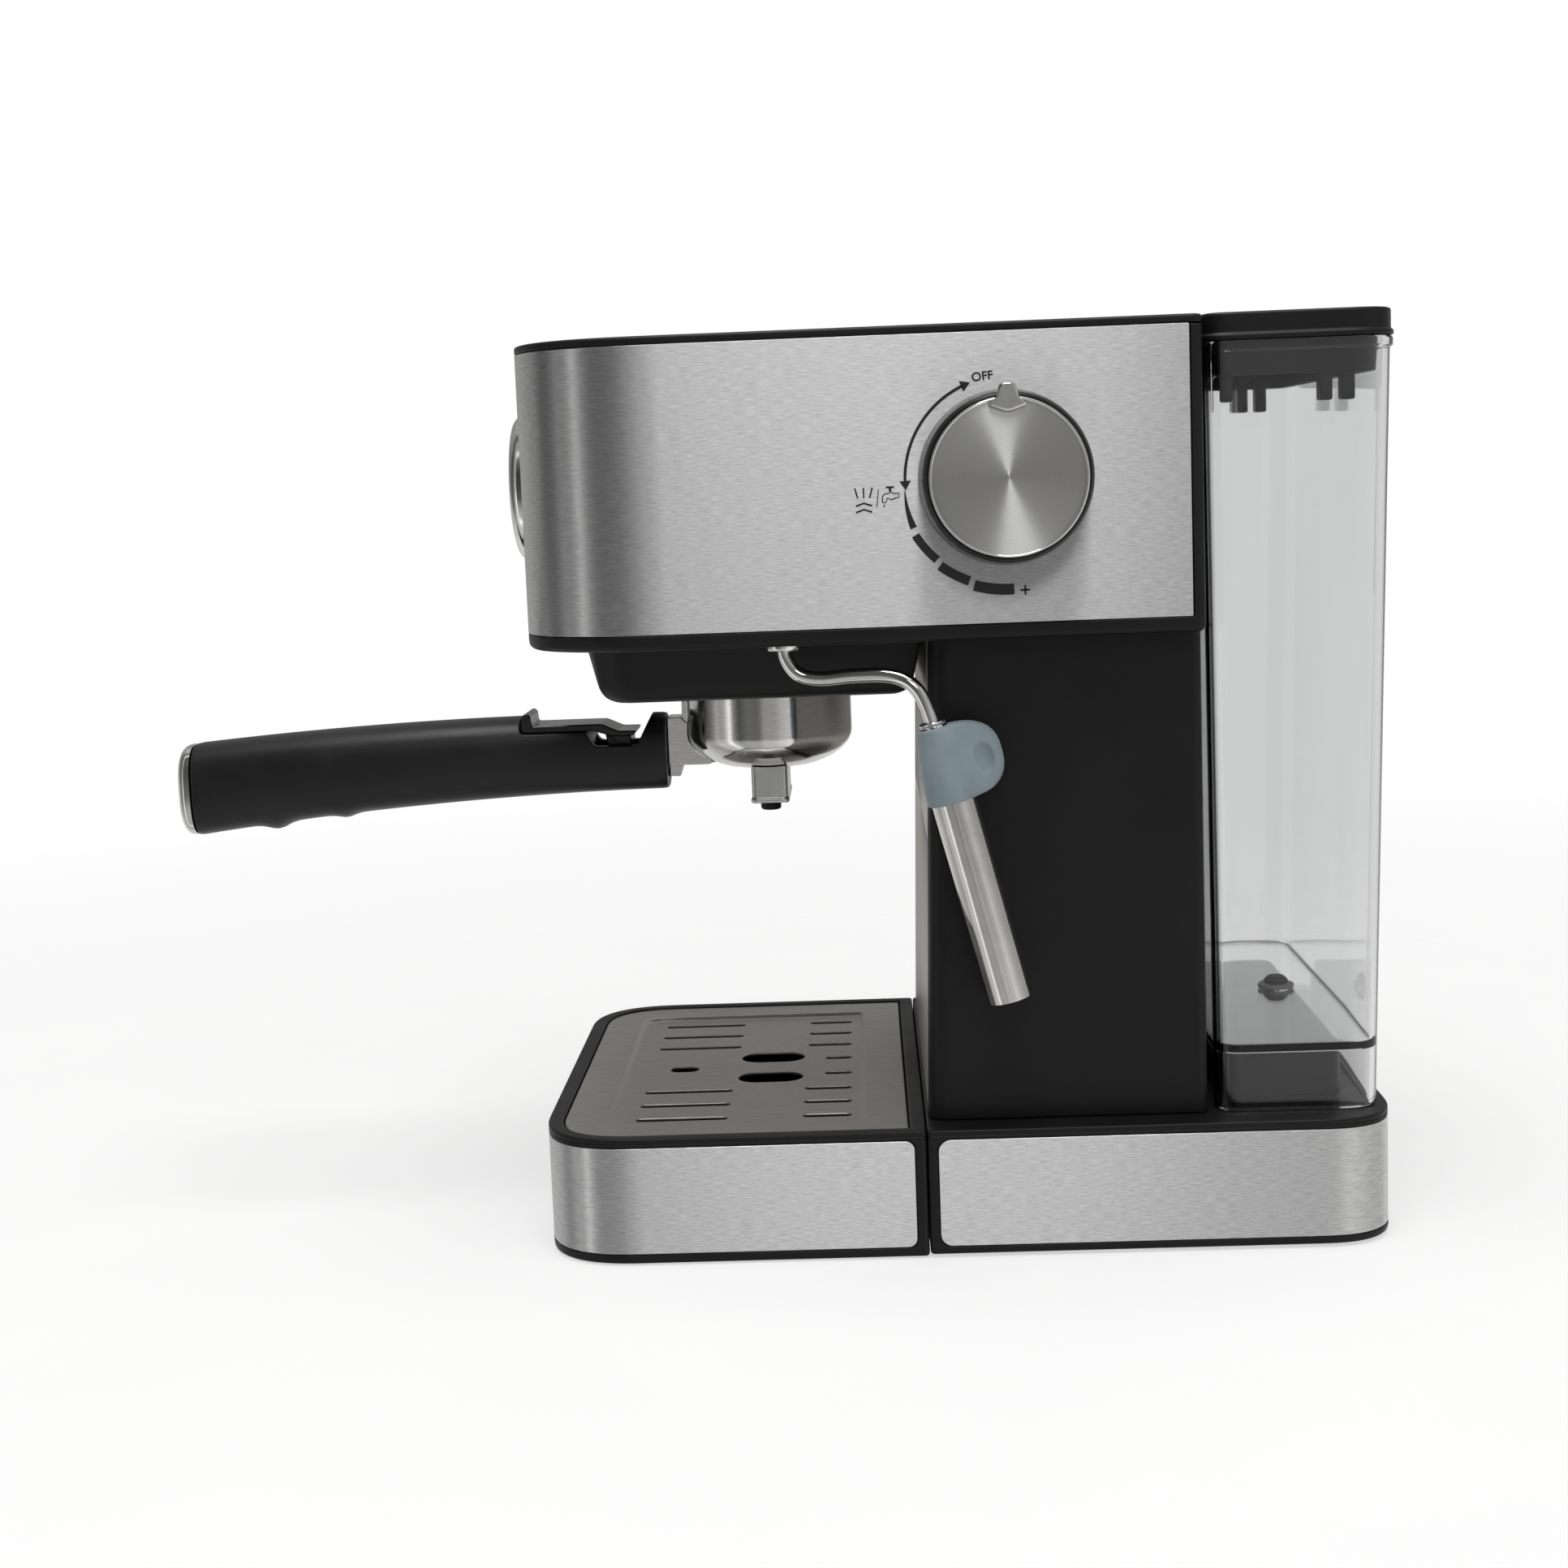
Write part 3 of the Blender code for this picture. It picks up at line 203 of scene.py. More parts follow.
def moulded(name, dark, light, rough, grain=0.03, size=2.2, shine=0.5):
    """Moulded plastic: a fine spark-eroded grain, slow shifts of shade and a few duller patches."""
    material, tree, shader = blank(name, rough, Specular_IOR_Level=shine)
    place = millimetres(tree)
    slow = noise(tree, place, 0.035, 4.0)
    fine = noise(tree, place, size, 2.0)
    wire(tree, shader, shades(tree, slow, dark, light), spread(tree, slow, rough - 0.05, rough + 0.06))
    relief(tree, shader, fine, 0.35, grain)
    return material


def tangent_about(tree, shader, axis):
    """Turns the shine's long axis about one of the piece's own axes."""
    tangent = node(tree, "ShaderNodeTangent", direction_type="RADIAL", axis=axis)
    tree.links.new(tangent.outputs["Tangent"], shader.inputs["Tangent"])


def brushed(name, dark, light, rough, grain_along, turn, anisotropy=0.9):
    """Steel brushed along one direction: long fine streaks in its shade, roughness and relief.

    grain_along is how much the texture is stretched on X, Y and Z: small numbers run with the brushing.
    turn, a share of a full turn, sets the shine's long axis across the brushing.
    """
    material, tree, shader = blank(name, rough, 1.0, Anisotropic=anisotropy, Anisotropic_Rotation=turn)
    streaks = noise(tree, millimetres(tree, grain_along), 1.0, 3.0, 0.65)
    hairs = noise(tree, millimetres(tree, tuple(1.7 * g for g in grain_along)), 1.0, 2.0)
    wire(tree, shader, shades(tree, streaks, dark, light, 0.34, 0.66),
         spread(tree, hairs, rough - 0.03, rough + 0.05))
    relief(tree, shader, hairs, 0.25, 0.012)
    tangent_about(tree, shader, "Z")
    return material


def polished(name, dark, light, rough, smear=0.05):
    """Plated or polished metal with faint smears and hairline wear."""
    material, tree, shader = blank(name, rough, 1.0)
    place = millimetres(tree)
    cloud = noise(tree, place, 0.11, 5.0, 0.62)
    hairs = noise(tree, millimetres(tree, (0.35, 0.35, 3.0)), 1.0, 3.0)
    wire(tree, shader, shades(tree, cloud, dark, light), spread(tree, cloud, rough, rough + smear))
    relief(tree, shader, hairs, 0.08, 0.01)
    return material


def cast(name, dark, light, rough):
    """Cast or machined metal with a fine pitted skin."""
    material, tree, shader = blank(name, rough, 1.0)
    place = millimetres(tree)
    cloud = noise(tree, place, 0.3, 5.0, 0.6)
    pits = noise(tree, place, 3.0, 2.0)
    wire(tree, shader, shades(tree, cloud, dark, light), spread(tree, pits, rough - 0.06, rough + 0.1))
    relief(tree, shader, pits, 0.3, 0.05)
    return material


def spun():
    """The knob's face: turned in fine rings, so that its shine gathers in wedges."""
    material, tree, shader = blank("spun_metal", 0.54, 1.0, Anisotropic=1.0, Anisotropic_Rotation=0.25)
    place = node(tree, "ShaderNodeVectorMath", {0: millimetres(tree)}, operation="SUBTRACT")
    place.inputs[1].default_value = KNOB
    rings = node(tree, "ShaderNodeTexWave", {"Vector": place.outputs[0], "Scale": 0.55, "Distortion": 0.3,
                                             "Detail": 2.0}, wave_type="RINGS", rings_direction="X")
    wire(tree, shader, shades(tree, rings.outputs["Fac"], (0.58, 0.58, 0.58), (0.74, 0.74, 0.73), 0.0, 1.0))
    relief(tree, shader, rings.outputs["Fac"], 0.2, 0.01)
    tangent_about(tree, shader, "X")
    return material


def silicone():
    """Soft blue-grey silicone, a little see-through, with a dusty bloom."""
    material, tree, shader = blank("silicone_blue", 0.5, 0.0, Subsurface_Weight=0.35, Subsurface_Scale=0.004,
                                   Sheen_Weight=0.25, Sheen_Roughness=0.5)
    place = millimetres(tree)
    cloud = noise(tree, place, 0.13, 4.0)
    dust = noise(tree, place, 1.6, 3.0)
    wire(tree, shader, shades(tree, cloud, (0.235, 0.30, 0.335), (0.27, 0.345, 0.38)),
         spread(tree, dust, 0.42, 0.6))
    relief(tree, shader, dust, 0.25, 0.03)
    return material


def clear_plastic(name, light, rough):
    """Clear moulded plastic with faint flow lines and rub marks."""
    material, tree, shader = blank(name, rough, 0.0, Transmission_Weight=1.0, IOR=1.45)
    flow = noise(tree, millimetres(tree, (0.05, 0.05, 0.006)), 1.0, 2.0)
    rubs = noise(tree, millimetres(tree), 0.09, 5.0, 0.65)
    dark = tuple(0.96 * c for c in light)
    wire(tree, shader, shades(tree, flow, dark, light), spread(tree, rubs, rough, rough + 0.05, 0.45, 0.75))
    relief(tree, shader, flow, 0.1, 0.12)
    return material


def pale_floor():
    """Plain floor that fades out at its rim."""
    material, tree, shader = blank("floor_paper", 0.85)
    place = node(tree, "ShaderNodeTexCoord").outputs["Object"]
    away = node(tree, "ShaderNodeVectorMath", {0: place}, operation="LENGTH").outputs["Value"]
    grain = noise(tree, place, 9.0, 4.0)
    wire(tree, shader, shades(tree, grain, (0.86, 0.86, 0.86), (0.9, 0.9, 0.895)))
    tree.links.new(spread(tree, away, 0.4, 0.0, 0.25, 1.1), shader.inputs["Alpha"])
    return material


BLACK = moulded("moulded_black", (0.0055, 0.0055, 0.0060), (0.0085, 0.0085, 0.0092), 0.44, shine=0.26)
HANDLE_BLACK = moulded("handle_black", (0.007, 0.007, 0.0078), (0.0105, 0.0105, 0.0115), 0.38, 0.02, 3.0, 0.4)
GLOSS = moulded("gloss_black", (0.009, 0.009, 0.010), (0.014, 0.014, 0.015), 0.2, 0.004, 1.2)
ROUND_THE_BODY = (0.24, 0.24, 3.6)  # the grain of the bands, which runs level round the machine
STEEL = brushed("brushed_steel_wrap", (0.43, 0.43, 0.435), (0.62, 0.62, 0.625), 0.35,
                ROUND_THE_BODY, 0.25, 1.0)
# The head band's brushed steel again, its colours 1.28 times lighter: painted light, the brighter shine of
# the base and tray bands painted into their colour.
BASE_STEEL_PAINTED_LIGHTER = brushed("brushed_steel_base_painted_lighter", (0.55, 0.55, 0.555), (0.79, 0.79, 0.795), 0.35,
                     ROUND_THE_BODY, 0.25, 1.0)
PANEL_STEEL = brushed("brushed_steel_upright", (0.46, 0.45, 0.42), (0.58, 0.57, 0.54), 0.4,
                      (3.0, 3.0, 0.06), 0.0)
PLATE_STEEL = brushed("plate_steel", (0.40, 0.395, 0.38), (0.53, 0.525, 0.51), 0.42,
                      (2.2, 0.12, 2.2), 0.0, 0.3)
TOP_STEEL = brushed("warming_steel", (0.46, 0.455, 0.445), (0.6, 0.595, 0.585), 0.38,
                    (0.12, 2.6, 2.6), 0.0, 0.3)
SLEEVE_STEEL = polished("sleeve_steel", (0.58, 0.57, 0.55), (0.68, 0.67, 0.65), 0.07, 0.02)
BOWL_STEEL = brushed("bowl_chrome", (0.62, 0.62, 0.61), (0.74, 0.74, 0.73), 0.12,
                     (0.2, 0.2, 2.6), 0.25, 0.3)
CHROME = polished("chrome_plate", (0.70, 0.70, 0.70), (0.80, 0.80, 0.80), 0.06)
SATIN_CHROME = polished("satin_chrome", (0.52, 0.52, 0.52), (0.62, 0.62, 0.62), 0.2, 0.1)
CAST = cast("cast_alloy", (0.36, 0.36, 0.355), (0.47, 0.47, 0.465), 0.42)
BRASS = cast("turned_brass", (0.50, 0.35, 0.14), (0.62, 0.45, 0.20), 0.36)
RUBBER = moulded("black_rubber", (0.013, 0.013, 0.013), (0.022, 0.022, 0.022), 0.75, 0.05, 1.5)
SEAL_GREY = moulded("seal_grey_rubber", (0.23, 0.23, 0.24), (0.29, 0.29, 0.30), 0.55, 0.04, 1.2)
DIAL_WHITE = moulded("dial_paint", (0.74, 0.74, 0.72), (0.82, 0.82, 0.80), 0.5, 0.01, 2.0)
INK_BLACK = moulded("ink_black", (0.008, 0.008, 0.010), (0.016, 0.016, 0.018), 0.5, 0.004, 2.5)
INK_WHITE = moulded("ink_white", (0.62, 0.62, 0.61), (0.74, 0.74, 0.73), 0.5, 0.004, 2.5)
INK_GREEN = moulded("ink_green", (0.05, 0.26, 0.10), (0.07, 0.34, 0.13), 0.5, 0.004, 2.5)
NEEDLE_RED = moulded("needle_paint", (0.50, 0.02, 0.015), (0.62, 0.035, 0.025), 0.35, 0.004, 1.6)
SILICONE = silicone()
CLEAR = clear_plastic("clear_tank_plastic", (0.985, 0.99, 0.99), 0.015)
LENS_CLEAR = clear_plastic("clear_lens", (0.99, 0.99, 0.99), 0.01)
SPUN = spun()


# ---------------------------------------------------------------- mesh helpers


def soften(points, radius, closed=False, steps=3):
    """Rounds the corners of an outline, each by at most the radius and by less where its sides are short."""
    rounded = []
    for i, point in enumerate(points):
        if not closed and i in (0, len(points) - 1):
            rounded.append(tuple(point))
            continue
        here = Vector(point)
        before = Vector(points[i - 1]) - here
        after = Vector(points[(i + 1) % len(points)]) - here
        reach = min(radius, CORNER_SHARE * before.length, CORNER_SHARE * after.length)
        start = here + before.normalized() * reach
        stop = here + after.normalized() * reach
        for k in range(steps + 1):
            t = k / steps
            rounded.append(tuple(start * (1 - t) ** 2 + here * (2 * t * (1 - t)) + stop * t ** 2))
    return rounded


def loft(loops, closed=False, bm=None):
    """Joins equal loops of points with quads. It caps both ends, or joins the last loop to the first."""
    bm = bm or bmesh.new()
    rings = [[bm.verts.new(point) for point in loop] for loop in loops]
    pairs = list(zip(rings, rings[1:]))
    if closed:
        pairs.append((rings[-1], rings[0]))
    for low, high in pairs:
        for i in range(len(low)):
            j = (i + 1) % len(low)
            bm.faces.new((low[i], low[j], high[j], high[i]))
    if not closed:
        bm.faces.new(rings[0][::-1])
        bm.faces.new(rings[-1])
    return bm


def arc(cx, cy, radius, start, end, steps):
    """Points along a circle, from one angle in degrees to another."""
    angles = [math.radians(start + (end - start) * i / steps) for i in range(steps + 1)]
    return [(cx + radius * math.cos(a), cy + radius * math.sin(a)) for a in angles]


def eased(cx, cy, radius, towards_x, towards_y):
    """A quarter of a rounded corner that begins and ends gently, close to a circle of this radius.

    It runs from its side to its front or rear, about the circle's centre. Two signs give the corner.
    """
    reach = EASE * radius
    points = []
    for i in range(CORNER_STEPS + 1):
        angle = math.pi / 2 * i / CORNER_STEPS
        side, end = (max(v, 0.0) ** (2 / SQUARENESS) for v in (math.cos(angle), math.sin(angle)))
        points.append((cx + towards_x * (radius - reach + reach * side),
                       cy + towards_y * (radius - reach + reach * end)))
    return points


def corners(outline, inset):
    """The outline's four corners, moved inwards: front left, front right, rear right, rear left."""
    half = outline.half - inset
    front = outline.front + inset
    rear = outline.rear - inset
    near = max(outline.front_radius - inset, LEAST_RADIUS)
    far = max(outline.rear_radius - inset, LEAST_RADIUS)
    return (
        eased(near - half, front + near, near, -1, -1),
        eased(half - near, front + near, near, 1, -1)[::-1],
        eased(half - far, rear - far, far, 1, 1),
        eased(far - half, rear - far, far, -1, 1)[::-1],
    )


def ring(outline, inset, z, notch=None):
    """A loop at height z. A notch, (half width, depth), sets the middle of the front face back."""
    front_left, front_right, rear_right, rear_left = corners(outline, inset)
    middle = []
    if notch:
        half, depth = notch
        front = outline.front + inset
        middle = [(-half, front), (-half, front + depth), (half, front + depth), (half, front)]
    return [(x, y, z) for x, y in front_left + middle + front_right + rear_right + rear_left]


def stack(outline, levels, soft=0.4, at=(0.0, 0.0), bm=None):
    """A solid or a shell: one loop for each (inset, height), its edges softened, capped at both ends."""
    loops = [[(x + at[0], y + at[1], z) for x, y, z in ring(outline, inset, z)]
             for inset, z in soften(levels, soft)]
    return loft(loops, bm=bm)


def between(low, high, share):
    return Outline(*[a + (b - a) * share for a, b in zip(low, high)])


def band(outline, end_y, low, high, depth, radius, rear, grow=0.0, proud=0.0):
    """A strip round the front or the rear of an outline, whose two ends at end_y have rounded corners."""
    towards = 1 if rear else -1
    end_y -= towards * grow
    low -= grow
    high += grow
    turns = [math.pi / 2 * i / 8 for i in range(9)]
    trims = [(radius * (1 - math.cos(a)), radius * (1 - math.sin(a))) for a in turns]

    def path(inset):
        first, second = corners(outline, inset)[2:] if rear else corners(outline, inset)[:2]
        half = outline.half - inset
        side = half if rear else -half
        start = [(side, end_y + towards * along) for along, _ in trims]
        return start + first + second + [(-side, y) for _, y in reversed(start)]

    trim = [up for _, up in trims]
    trim = trim + [0.0] * (2 * (CORNER_STEPS + 1)) + trim[::-1]
    sections = []
    for (ox, oy), (ix, iy), up in zip(path(-proud), path(depth), trim):
        sections.append([(ox, oy, low + up), (ox, oy, high - up), (ix, iy, high - up), (ix, iy, low + up)])
    return loft(sections)


def turned(profile, base=(0.0, 0.0, 0.0), axis=Z_UP, segments=SEGMENTS, soft=0.35, bm=None):
    """Turns (radius, height) points about an axis. Ends at radius 0 make a solid, others a ring."""
    solid = profile[0][0] == 0.0
    points = soften(profile, soft, closed=not solid)
    rings = points[1:-1] if solid else points
    angles = [2 * math.pi * i / segments for i in range(segments)]
    turn = Vector(Z_UP).rotation_difference(Vector(axis)).to_matrix()
    loops = [[turn @ Vector((r * math.cos(a), r * math.sin(a), h)) + Vector(base) for a in angles]
             for r, h in rings]
    return loft(loops, closed=not solid, bm=bm)


def disc(radius, start, length, base, axis, segments=SEGMENTS, bm=None):
    """A plain cylinder for cutting or fusing."""
    profile = [(0.0, start), (radius, start), (radius, start + length), (0.0, start + length)]
    return turned(profile, base, axis, segments, 0.0001, bm)


def prism(profile, half, soft=0.4, x=0.0):
    """Extrudes a (y, z) outline along X, with its corners softened."""
    outline = soften(profile, soft, closed=True)
    return loft([[(x + side, y, z) for y, z in outline] for side in (-half, half)])


def tube(path, radius, sides=32):
    """A round bar along a list of points, with flat ends."""
    angles = [2 * math.pi * k / sides for k in range(sides)]
    normal = Vector(X_OUT)
    loops = []
    for i, point in enumerate(path):
        ahead = (path[min(i + 1, len(path) - 1)] - path[max(i - 1, 0)]).normalized()
        normal = (normal - ahead * normal.dot(ahead)).normalized()
        side = ahead.cross(normal)
        loops.append([point + radius * (math.cos(a) * normal + math.sin(a) * side) for a in angles])
    return loft(loops)


def smooth_path(points, steps):
    """Catmull-Rom curve through the points."""
    knots = [Vector(p) for p in points]
    knots = [2 * knots[0] - knots[1]] + knots + [2 * knots[-1] - knots[-2]]
    path = []
    for a, b, c, d in zip(knots, knots[1:], knots[2:], knots[3:]):
        for i in range(steps):
            t = i / steps
            path.append(0.5 * (2 * b + (c - a) * t + (2 * a - 5 * b + 4 * c - d) * t ** 2
                               + (3 * b - a - 3 * c + d) * t ** 3))
    return path + [knots[-2]]


def solid(name, bm):
    """An object of this mesh, at HOME."""
    bmesh.ops.recalc_face_normals(bm, faces=bm.faces)
    bmesh.ops.scale(bm, vec=(MM, MM, MM), verts=bm.verts)
    mesh = bpy.data.meshes.new(name)
    bm.to_mesh(mesh)
    bm.free()
    obj = bpy.data.objects.new(name, mesh)
    obj.location = HOME
    bpy.context.scene.collection.objects.link(obj)
    return obj


def carve(piece, bm, operation="DIFFERENCE"):
    """Cuts a shape out of a piece, or fuses it on, and keeps only the resulting mesh."""
    tool = solid("tool", bm)
    modifier = piece.modifiers.new("carve", "BOOLEAN")
    modifier.operation = operation
    modifier.object = tool
    bpy.context.view_layer.update()
    graph = bpy.context.evaluated_depsgraph_get()
    result = bpy.data.meshes.new_from_object(piece.evaluated_get(graph))
    piece.modifiers.clear()
    piece.data = result
    bpy.data.objects.remove(tool, do_unlink=True)


def fuse(piece, bm):
    carve(piece, bm, "UNION")


def dress(piece, look, body, slot, *nodes, bevel=0.0, sharp=33):
    """Shades and paints a piece, puts it on the body it rides on and hides the CAD nodes it stands for."""
    mesh = piece.data
    mesh.shade_smooth()
    mesh.set_sharp_from_angle(angle=math.radians(sharp))
    mesh.materials.clear()
    mesh.materials.append(look)
    if bevel:
        rounding = piece.modifiers.new("edges", "BEVEL")
        rounding.width = bevel * MM
        rounding.segments = 2
        rounding.limit_method = "ANGLE"
        rounding.angle_limit = math.radians(sharp)
        rounding.use_clamp_overlap = False
    even = piece.modifiers.new("even_shading", "WEIGHTED_NORMAL")
    even.keep_sharp = True
    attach(piece, body)
    if nodes:
        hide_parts(*nodes)


def place_part(name, bm, look, body, slot, *nodes, **edges):
    """A finished piece of a shape that needs no cutting."""
    dress(solid(name, bm), look, body, slot, *nodes, **edges)


# ---------------------------------------------------------------- printed marks

PRINT = 0.06  # thickness of a printed mark


def face_of(origin, across, up):
    """A function that places flat (u, v) points, at a height over the face, on a plane of the machine."""
    across, up = Vector(across), Vector(up)
    out = across.cross(up)

    def place(u, v, height=0.0):
        return Vector(origin) + across * u + up * v + out * height

    return place


def ribbon(bm, points, widths, place):
    """A printed stroke through flat points. The width may be one number for each point."""
    widths = widths if isinstance(widths, list) else [widths] * len(points)
    sections = []
    for i, point in enumerate(points):
        ahead = Vector(points[min(i + 1, len(points) - 1)]) - Vector(points[max(i - 1, 0)])
        side = Vector((-ahead.y, ahead.x)).normalized() * (widths[i] / 2)
        left, right = Vector(point) + side, Vector(point) - side
        sections.append([place(*left, 0.0), place(*right, 0.0), place(*right, PRINT), place(*left, PRINT)])
    loft(sections, bm=bm)


def lettering(bm, text, size, at, place, turn=0.0):
    """Adds a short generic word or number, centred at a flat point and turned by an angle in degrees."""
    curve = bpy.data.curves.new("letters", "FONT")
    curve.body = text
    curve.size = size
    curve.align_x = "CENTER"
    curve.align_y = "CENTER"
    curve.extrude = PRINT / 2
    curve.offset = 0.02 * size
    holder = bpy.data.objects.new("letters", curve)
    bpy.context.scene.collection.objects.link(holder)
    bpy.context.view_layer.update()
    graph = bpy.context.evaluated_depsgraph_get()
    mesh = bpy.data.meshes.new_from_object(holder.evaluated_get(graph))
    mesh.transform(Matrix.Rotation(math.radians(turn), 4, "Z"))
    spots = [place(at[0] + v.co.x, at[1] + v.co.y, v.co.z + PRINT / 2) for v in mesh.vertices]
    corners_of = [bm.verts.new(spot) for spot in spots]
    for face in mesh.polygons:
        bm.faces.new([corners_of[i] for i in face.vertices])
    bpy.data.objects.remove(holder, do_unlink=True)


# ---------------------------------------------------------------- base and tray


def seam_levels():
    """A fine groove just above the steel bands."""
    return (0.0, SEAM_Z - SEAM), (0.3, SEAM_Z), (0.0, SEAM_Z + SEAM)


def rear_base():
    wall = 2.6
    levels = [(wall, DECK_Z - wall), (wall, BASE_BOTTOM_Z), (0.0, BASE_BOTTOM_Z), *seam_levels(),
              (0.0, DECK_Z), (4.0, DECK_Z)]
    tub = solid("base_shell", stack(BASE, levels, 1.0))
    end_y = BASE.front + 3.6
    carve(tub, band(BASE, end_y, BAND_LOW_Z, BAND_HIGH_Z, SKIN + GAP, 4.0, True, GAP, 1.0))
    steel = solid("base_band", band(BASE, end_y, BAND_LOW_Z, BAND_HIGH_Z, SKIN, 4.0, True))
    gland = centre("cord_gland")
    spot = (gland.x, BASE.rear, gland.z)
    for piece in (tub, steel):
        carve(piece, disc(7.4, -8.0, 16.0, spot, Y_OUT))
    dress(tub, BLACK, "machine", "black_plastic", "base_tub", bevel=0.2)
    dress(steel, BASE_STEEL_PAINTED_LIGHTER, "machine", "brushed_steel", "base_steel_band", bevel=0.14)
    profile = [(3.6, -6.0), (7.0, -6.0), (7.0, 0.3), (9.0, 0.3), (9.0, 2.0), (6.4, 3.4), (5.6, 7.0),
               (3.6, 7.0)]
    inlet = turned(profile, spot, Y_OUT, SMALL_SEGMENTS)
    place_part("cord_inlet", inlet, RUBBER, "machine", "rubber", "cord_gland")


def drip_tray():
    levels = [(4.0, TRAY_BOTTOM_Z), (0.0, TRAY_BOTTOM_Z), *seam_levels(), (0.0, DECK_Z), (5.2, DECK_Z),
              (5.4, SEAM_Z), (9.0, SEAM_Z), (10.0, 6.0), (13.0, 3.0)]
    tub = solid("tray_shell", stack(TRAY, levels, 1.0))
    end_y = TRAY.rear - 4.0
    carve(tub, band(TRAY, end_y, BAND_LOW_Z, BAND_HIGH_Z, SKIN + GAP, 3.0, False, GAP, 1.0))
    steel = solid("tray_band", band(TRAY, end_y, BAND_LOW_Z, BAND_HIGH_Z, SKIN, 3.0, False))
    dress(tub, BLACK, "drip_tray", "black_plastic", "tray_tub", bevel=0.2)
    dress(steel, BASE_STEEL_PAINTED_LIGHTER, "drip_tray", "brushed_steel", "tray_steel_band", bevel=0.14)


def slot(x, start, end, width, bm):
    """A cutter for one slot with round ends along Y."""
    radius = width / 2
    outline = arc(x, start + radius, radius, 180, 360, 14) + arc(x, end - radius, radius, 0, 180, 14)
    loft([[(px, py, z) for px, py in outline] for z in (PLATE_Z - 4.0, PLATE_Z + 2.0)], bm=bm)


def drip_plate():
    """Pressed plate: a flat rim, a rounded step down to the field, and the slots."""
    thick = 1.0
    sunk = 1.6
    narrow = 3.8
    edge = 5.8
    field = PLATE_Z - sunk
    levels = [(24.0, field - thick), (20.8, field - thick), (19.5, PLATE_Z - thick), (edge, PLATE_Z - thick),
              (edge, PLATE_Z), (20.2, PLATE_Z), (21.5, field), (24.0, field)]
    plate = solid("drip_grid", stack(TRAY, levels, 0.7))
    cutters = bmesh.new()
    for side in (-1, 1):
        for x in (32.3, 50.6, 68.7):
            slot(side * x, 30.0, 62.0, narrow, cutters)
            slot(side * x, 88.0, 105.0, narrow, cutters)
        slot(side * 14.6, 63.0, 87.0, 14.5, cutters)
        slot(side * 11.2, 95.0, 105.0, narrow, cutters)
    slot(0.0, 36.8, 47.6, 8.0, cutters)
    carve(plate, cutters)
    dress(plate, PLATE_STEEL, "drip_plate", "plate_steel", "drip_plate", bevel=0.22)


# ---------------------------------------------------------------- column and head


def column():
    notch = (82.0, 1.1)
    wall = 2.4
    low = DECK_Z + GAP
    high = HEAD_Z - GAP
    loops = [ring(COLUMN_FOOT, 0, low, notch), ring(COLUMN_TOP, 0, high, notch),
             ring(COLUMN_TOP, wall, high, notch), ring(COLUMN_FOOT, wall, low, notch)]
    shell = loft(loops, closed=True)
    place_part("column", shell, BLACK, "machine", "black_plastic", "column_shell", bevel=0.3)
    half = notch[0] - GAP
    panel = [[(-half, front, z), (half, front, z), (half, front + 0.8, z), (-half, front + 0.8, z)]
             for front, z in ((COLUMN_FOOT.front, low), (COLUMN_TOP.front, high))]
    place_part("column_panel", loft(panel), PANEL_STEEL, "machine", "brushed_steel", "column_front_panel",
               bevel=0.15)


BUTTONS = ("power_button", "one_cup_button", "two_cup_button")


def head():
    wall = 3.0
    levels = [(6.0, HEAD_Z), (1.6, HEAD_Z), (0.2, HEAD_Z + 1.2), (0.0, HEAD_Z + 3.0), (0.0, COVER_Z - GAP),
              (wall, COVER_Z - GAP), (wall, HEAD_Z + wall), (6.0, HEAD_Z + wall)]
    chassis = solid("head_shell", stack(HEAD, levels, 0.8))
    end_y = HEAD.rear - 4.2
    carve(chassis, band(HEAD, end_y, HEAD_BAND_Z, COVER_Z + 6.0, SKIN + GAP, 0.6, False, GAP, 1.0))
    steel = solid("head_band", band(HEAD, end_y, HEAD_BAND_Z, COVER_Z - 0.2, SKIN, 0.6, False))
    for piece in (chassis, steel):
        carve(piece, disc(22.6, -8.0, 16.0, GAUGE, Y_OUT))
        carve(piece, disc(5.0, -8.0, 16.0, KNOB, X_OUT))
    for spot, radius in ((GROUP, 38.4), (WAND, 6.4)):
        carve(chassis, disc(radius, -8.0, 16.0, (spot.x, spot.y, HEAD_Z), Z_UP))
    dress(chassis, BLACK, "machine", "black_plastic", "head_chassis", bevel=0.2)
    dress(steel, STEEL, "machine", "brushed_steel", "head_steel_band", bevel=0.12)
    top_cover()


def top_cover():
    """Cover with the wells of the buttons and a pocket, and in it the warming plate."""
    levels = [(3.0, COVER_Z), (0.0, COVER_Z), (0.0, TOP_Z - 0.4), (1.8, TOP_Z), (6.0, TOP_Z)]
    cover = solid("cover", stack(HEAD, levels, 0.7))
    low, high = span("cup_warming_plate")
    pocket = Outline(high.x + GAP, low.y - GAP, high.y + GAP, 8.0, 8.0)
    carve(cover, stack(pocket, [(0.0, TOP_Z - 1.4), (0.0, TOP_Z + 2.0)]))
    wells = bmesh.new()
    for name in BUTTONS:
        spot = centre(name)
        disc(10.3, -6.0, 12.0, (spot.x, spot.y, TOP_Z), Z_UP, bm=wells)
    carve(cover, wells)
    dress(cover, BLACK, "machine", "black_plastic", "top_cover", bevel=0.25)
    warming_plate(pocket)


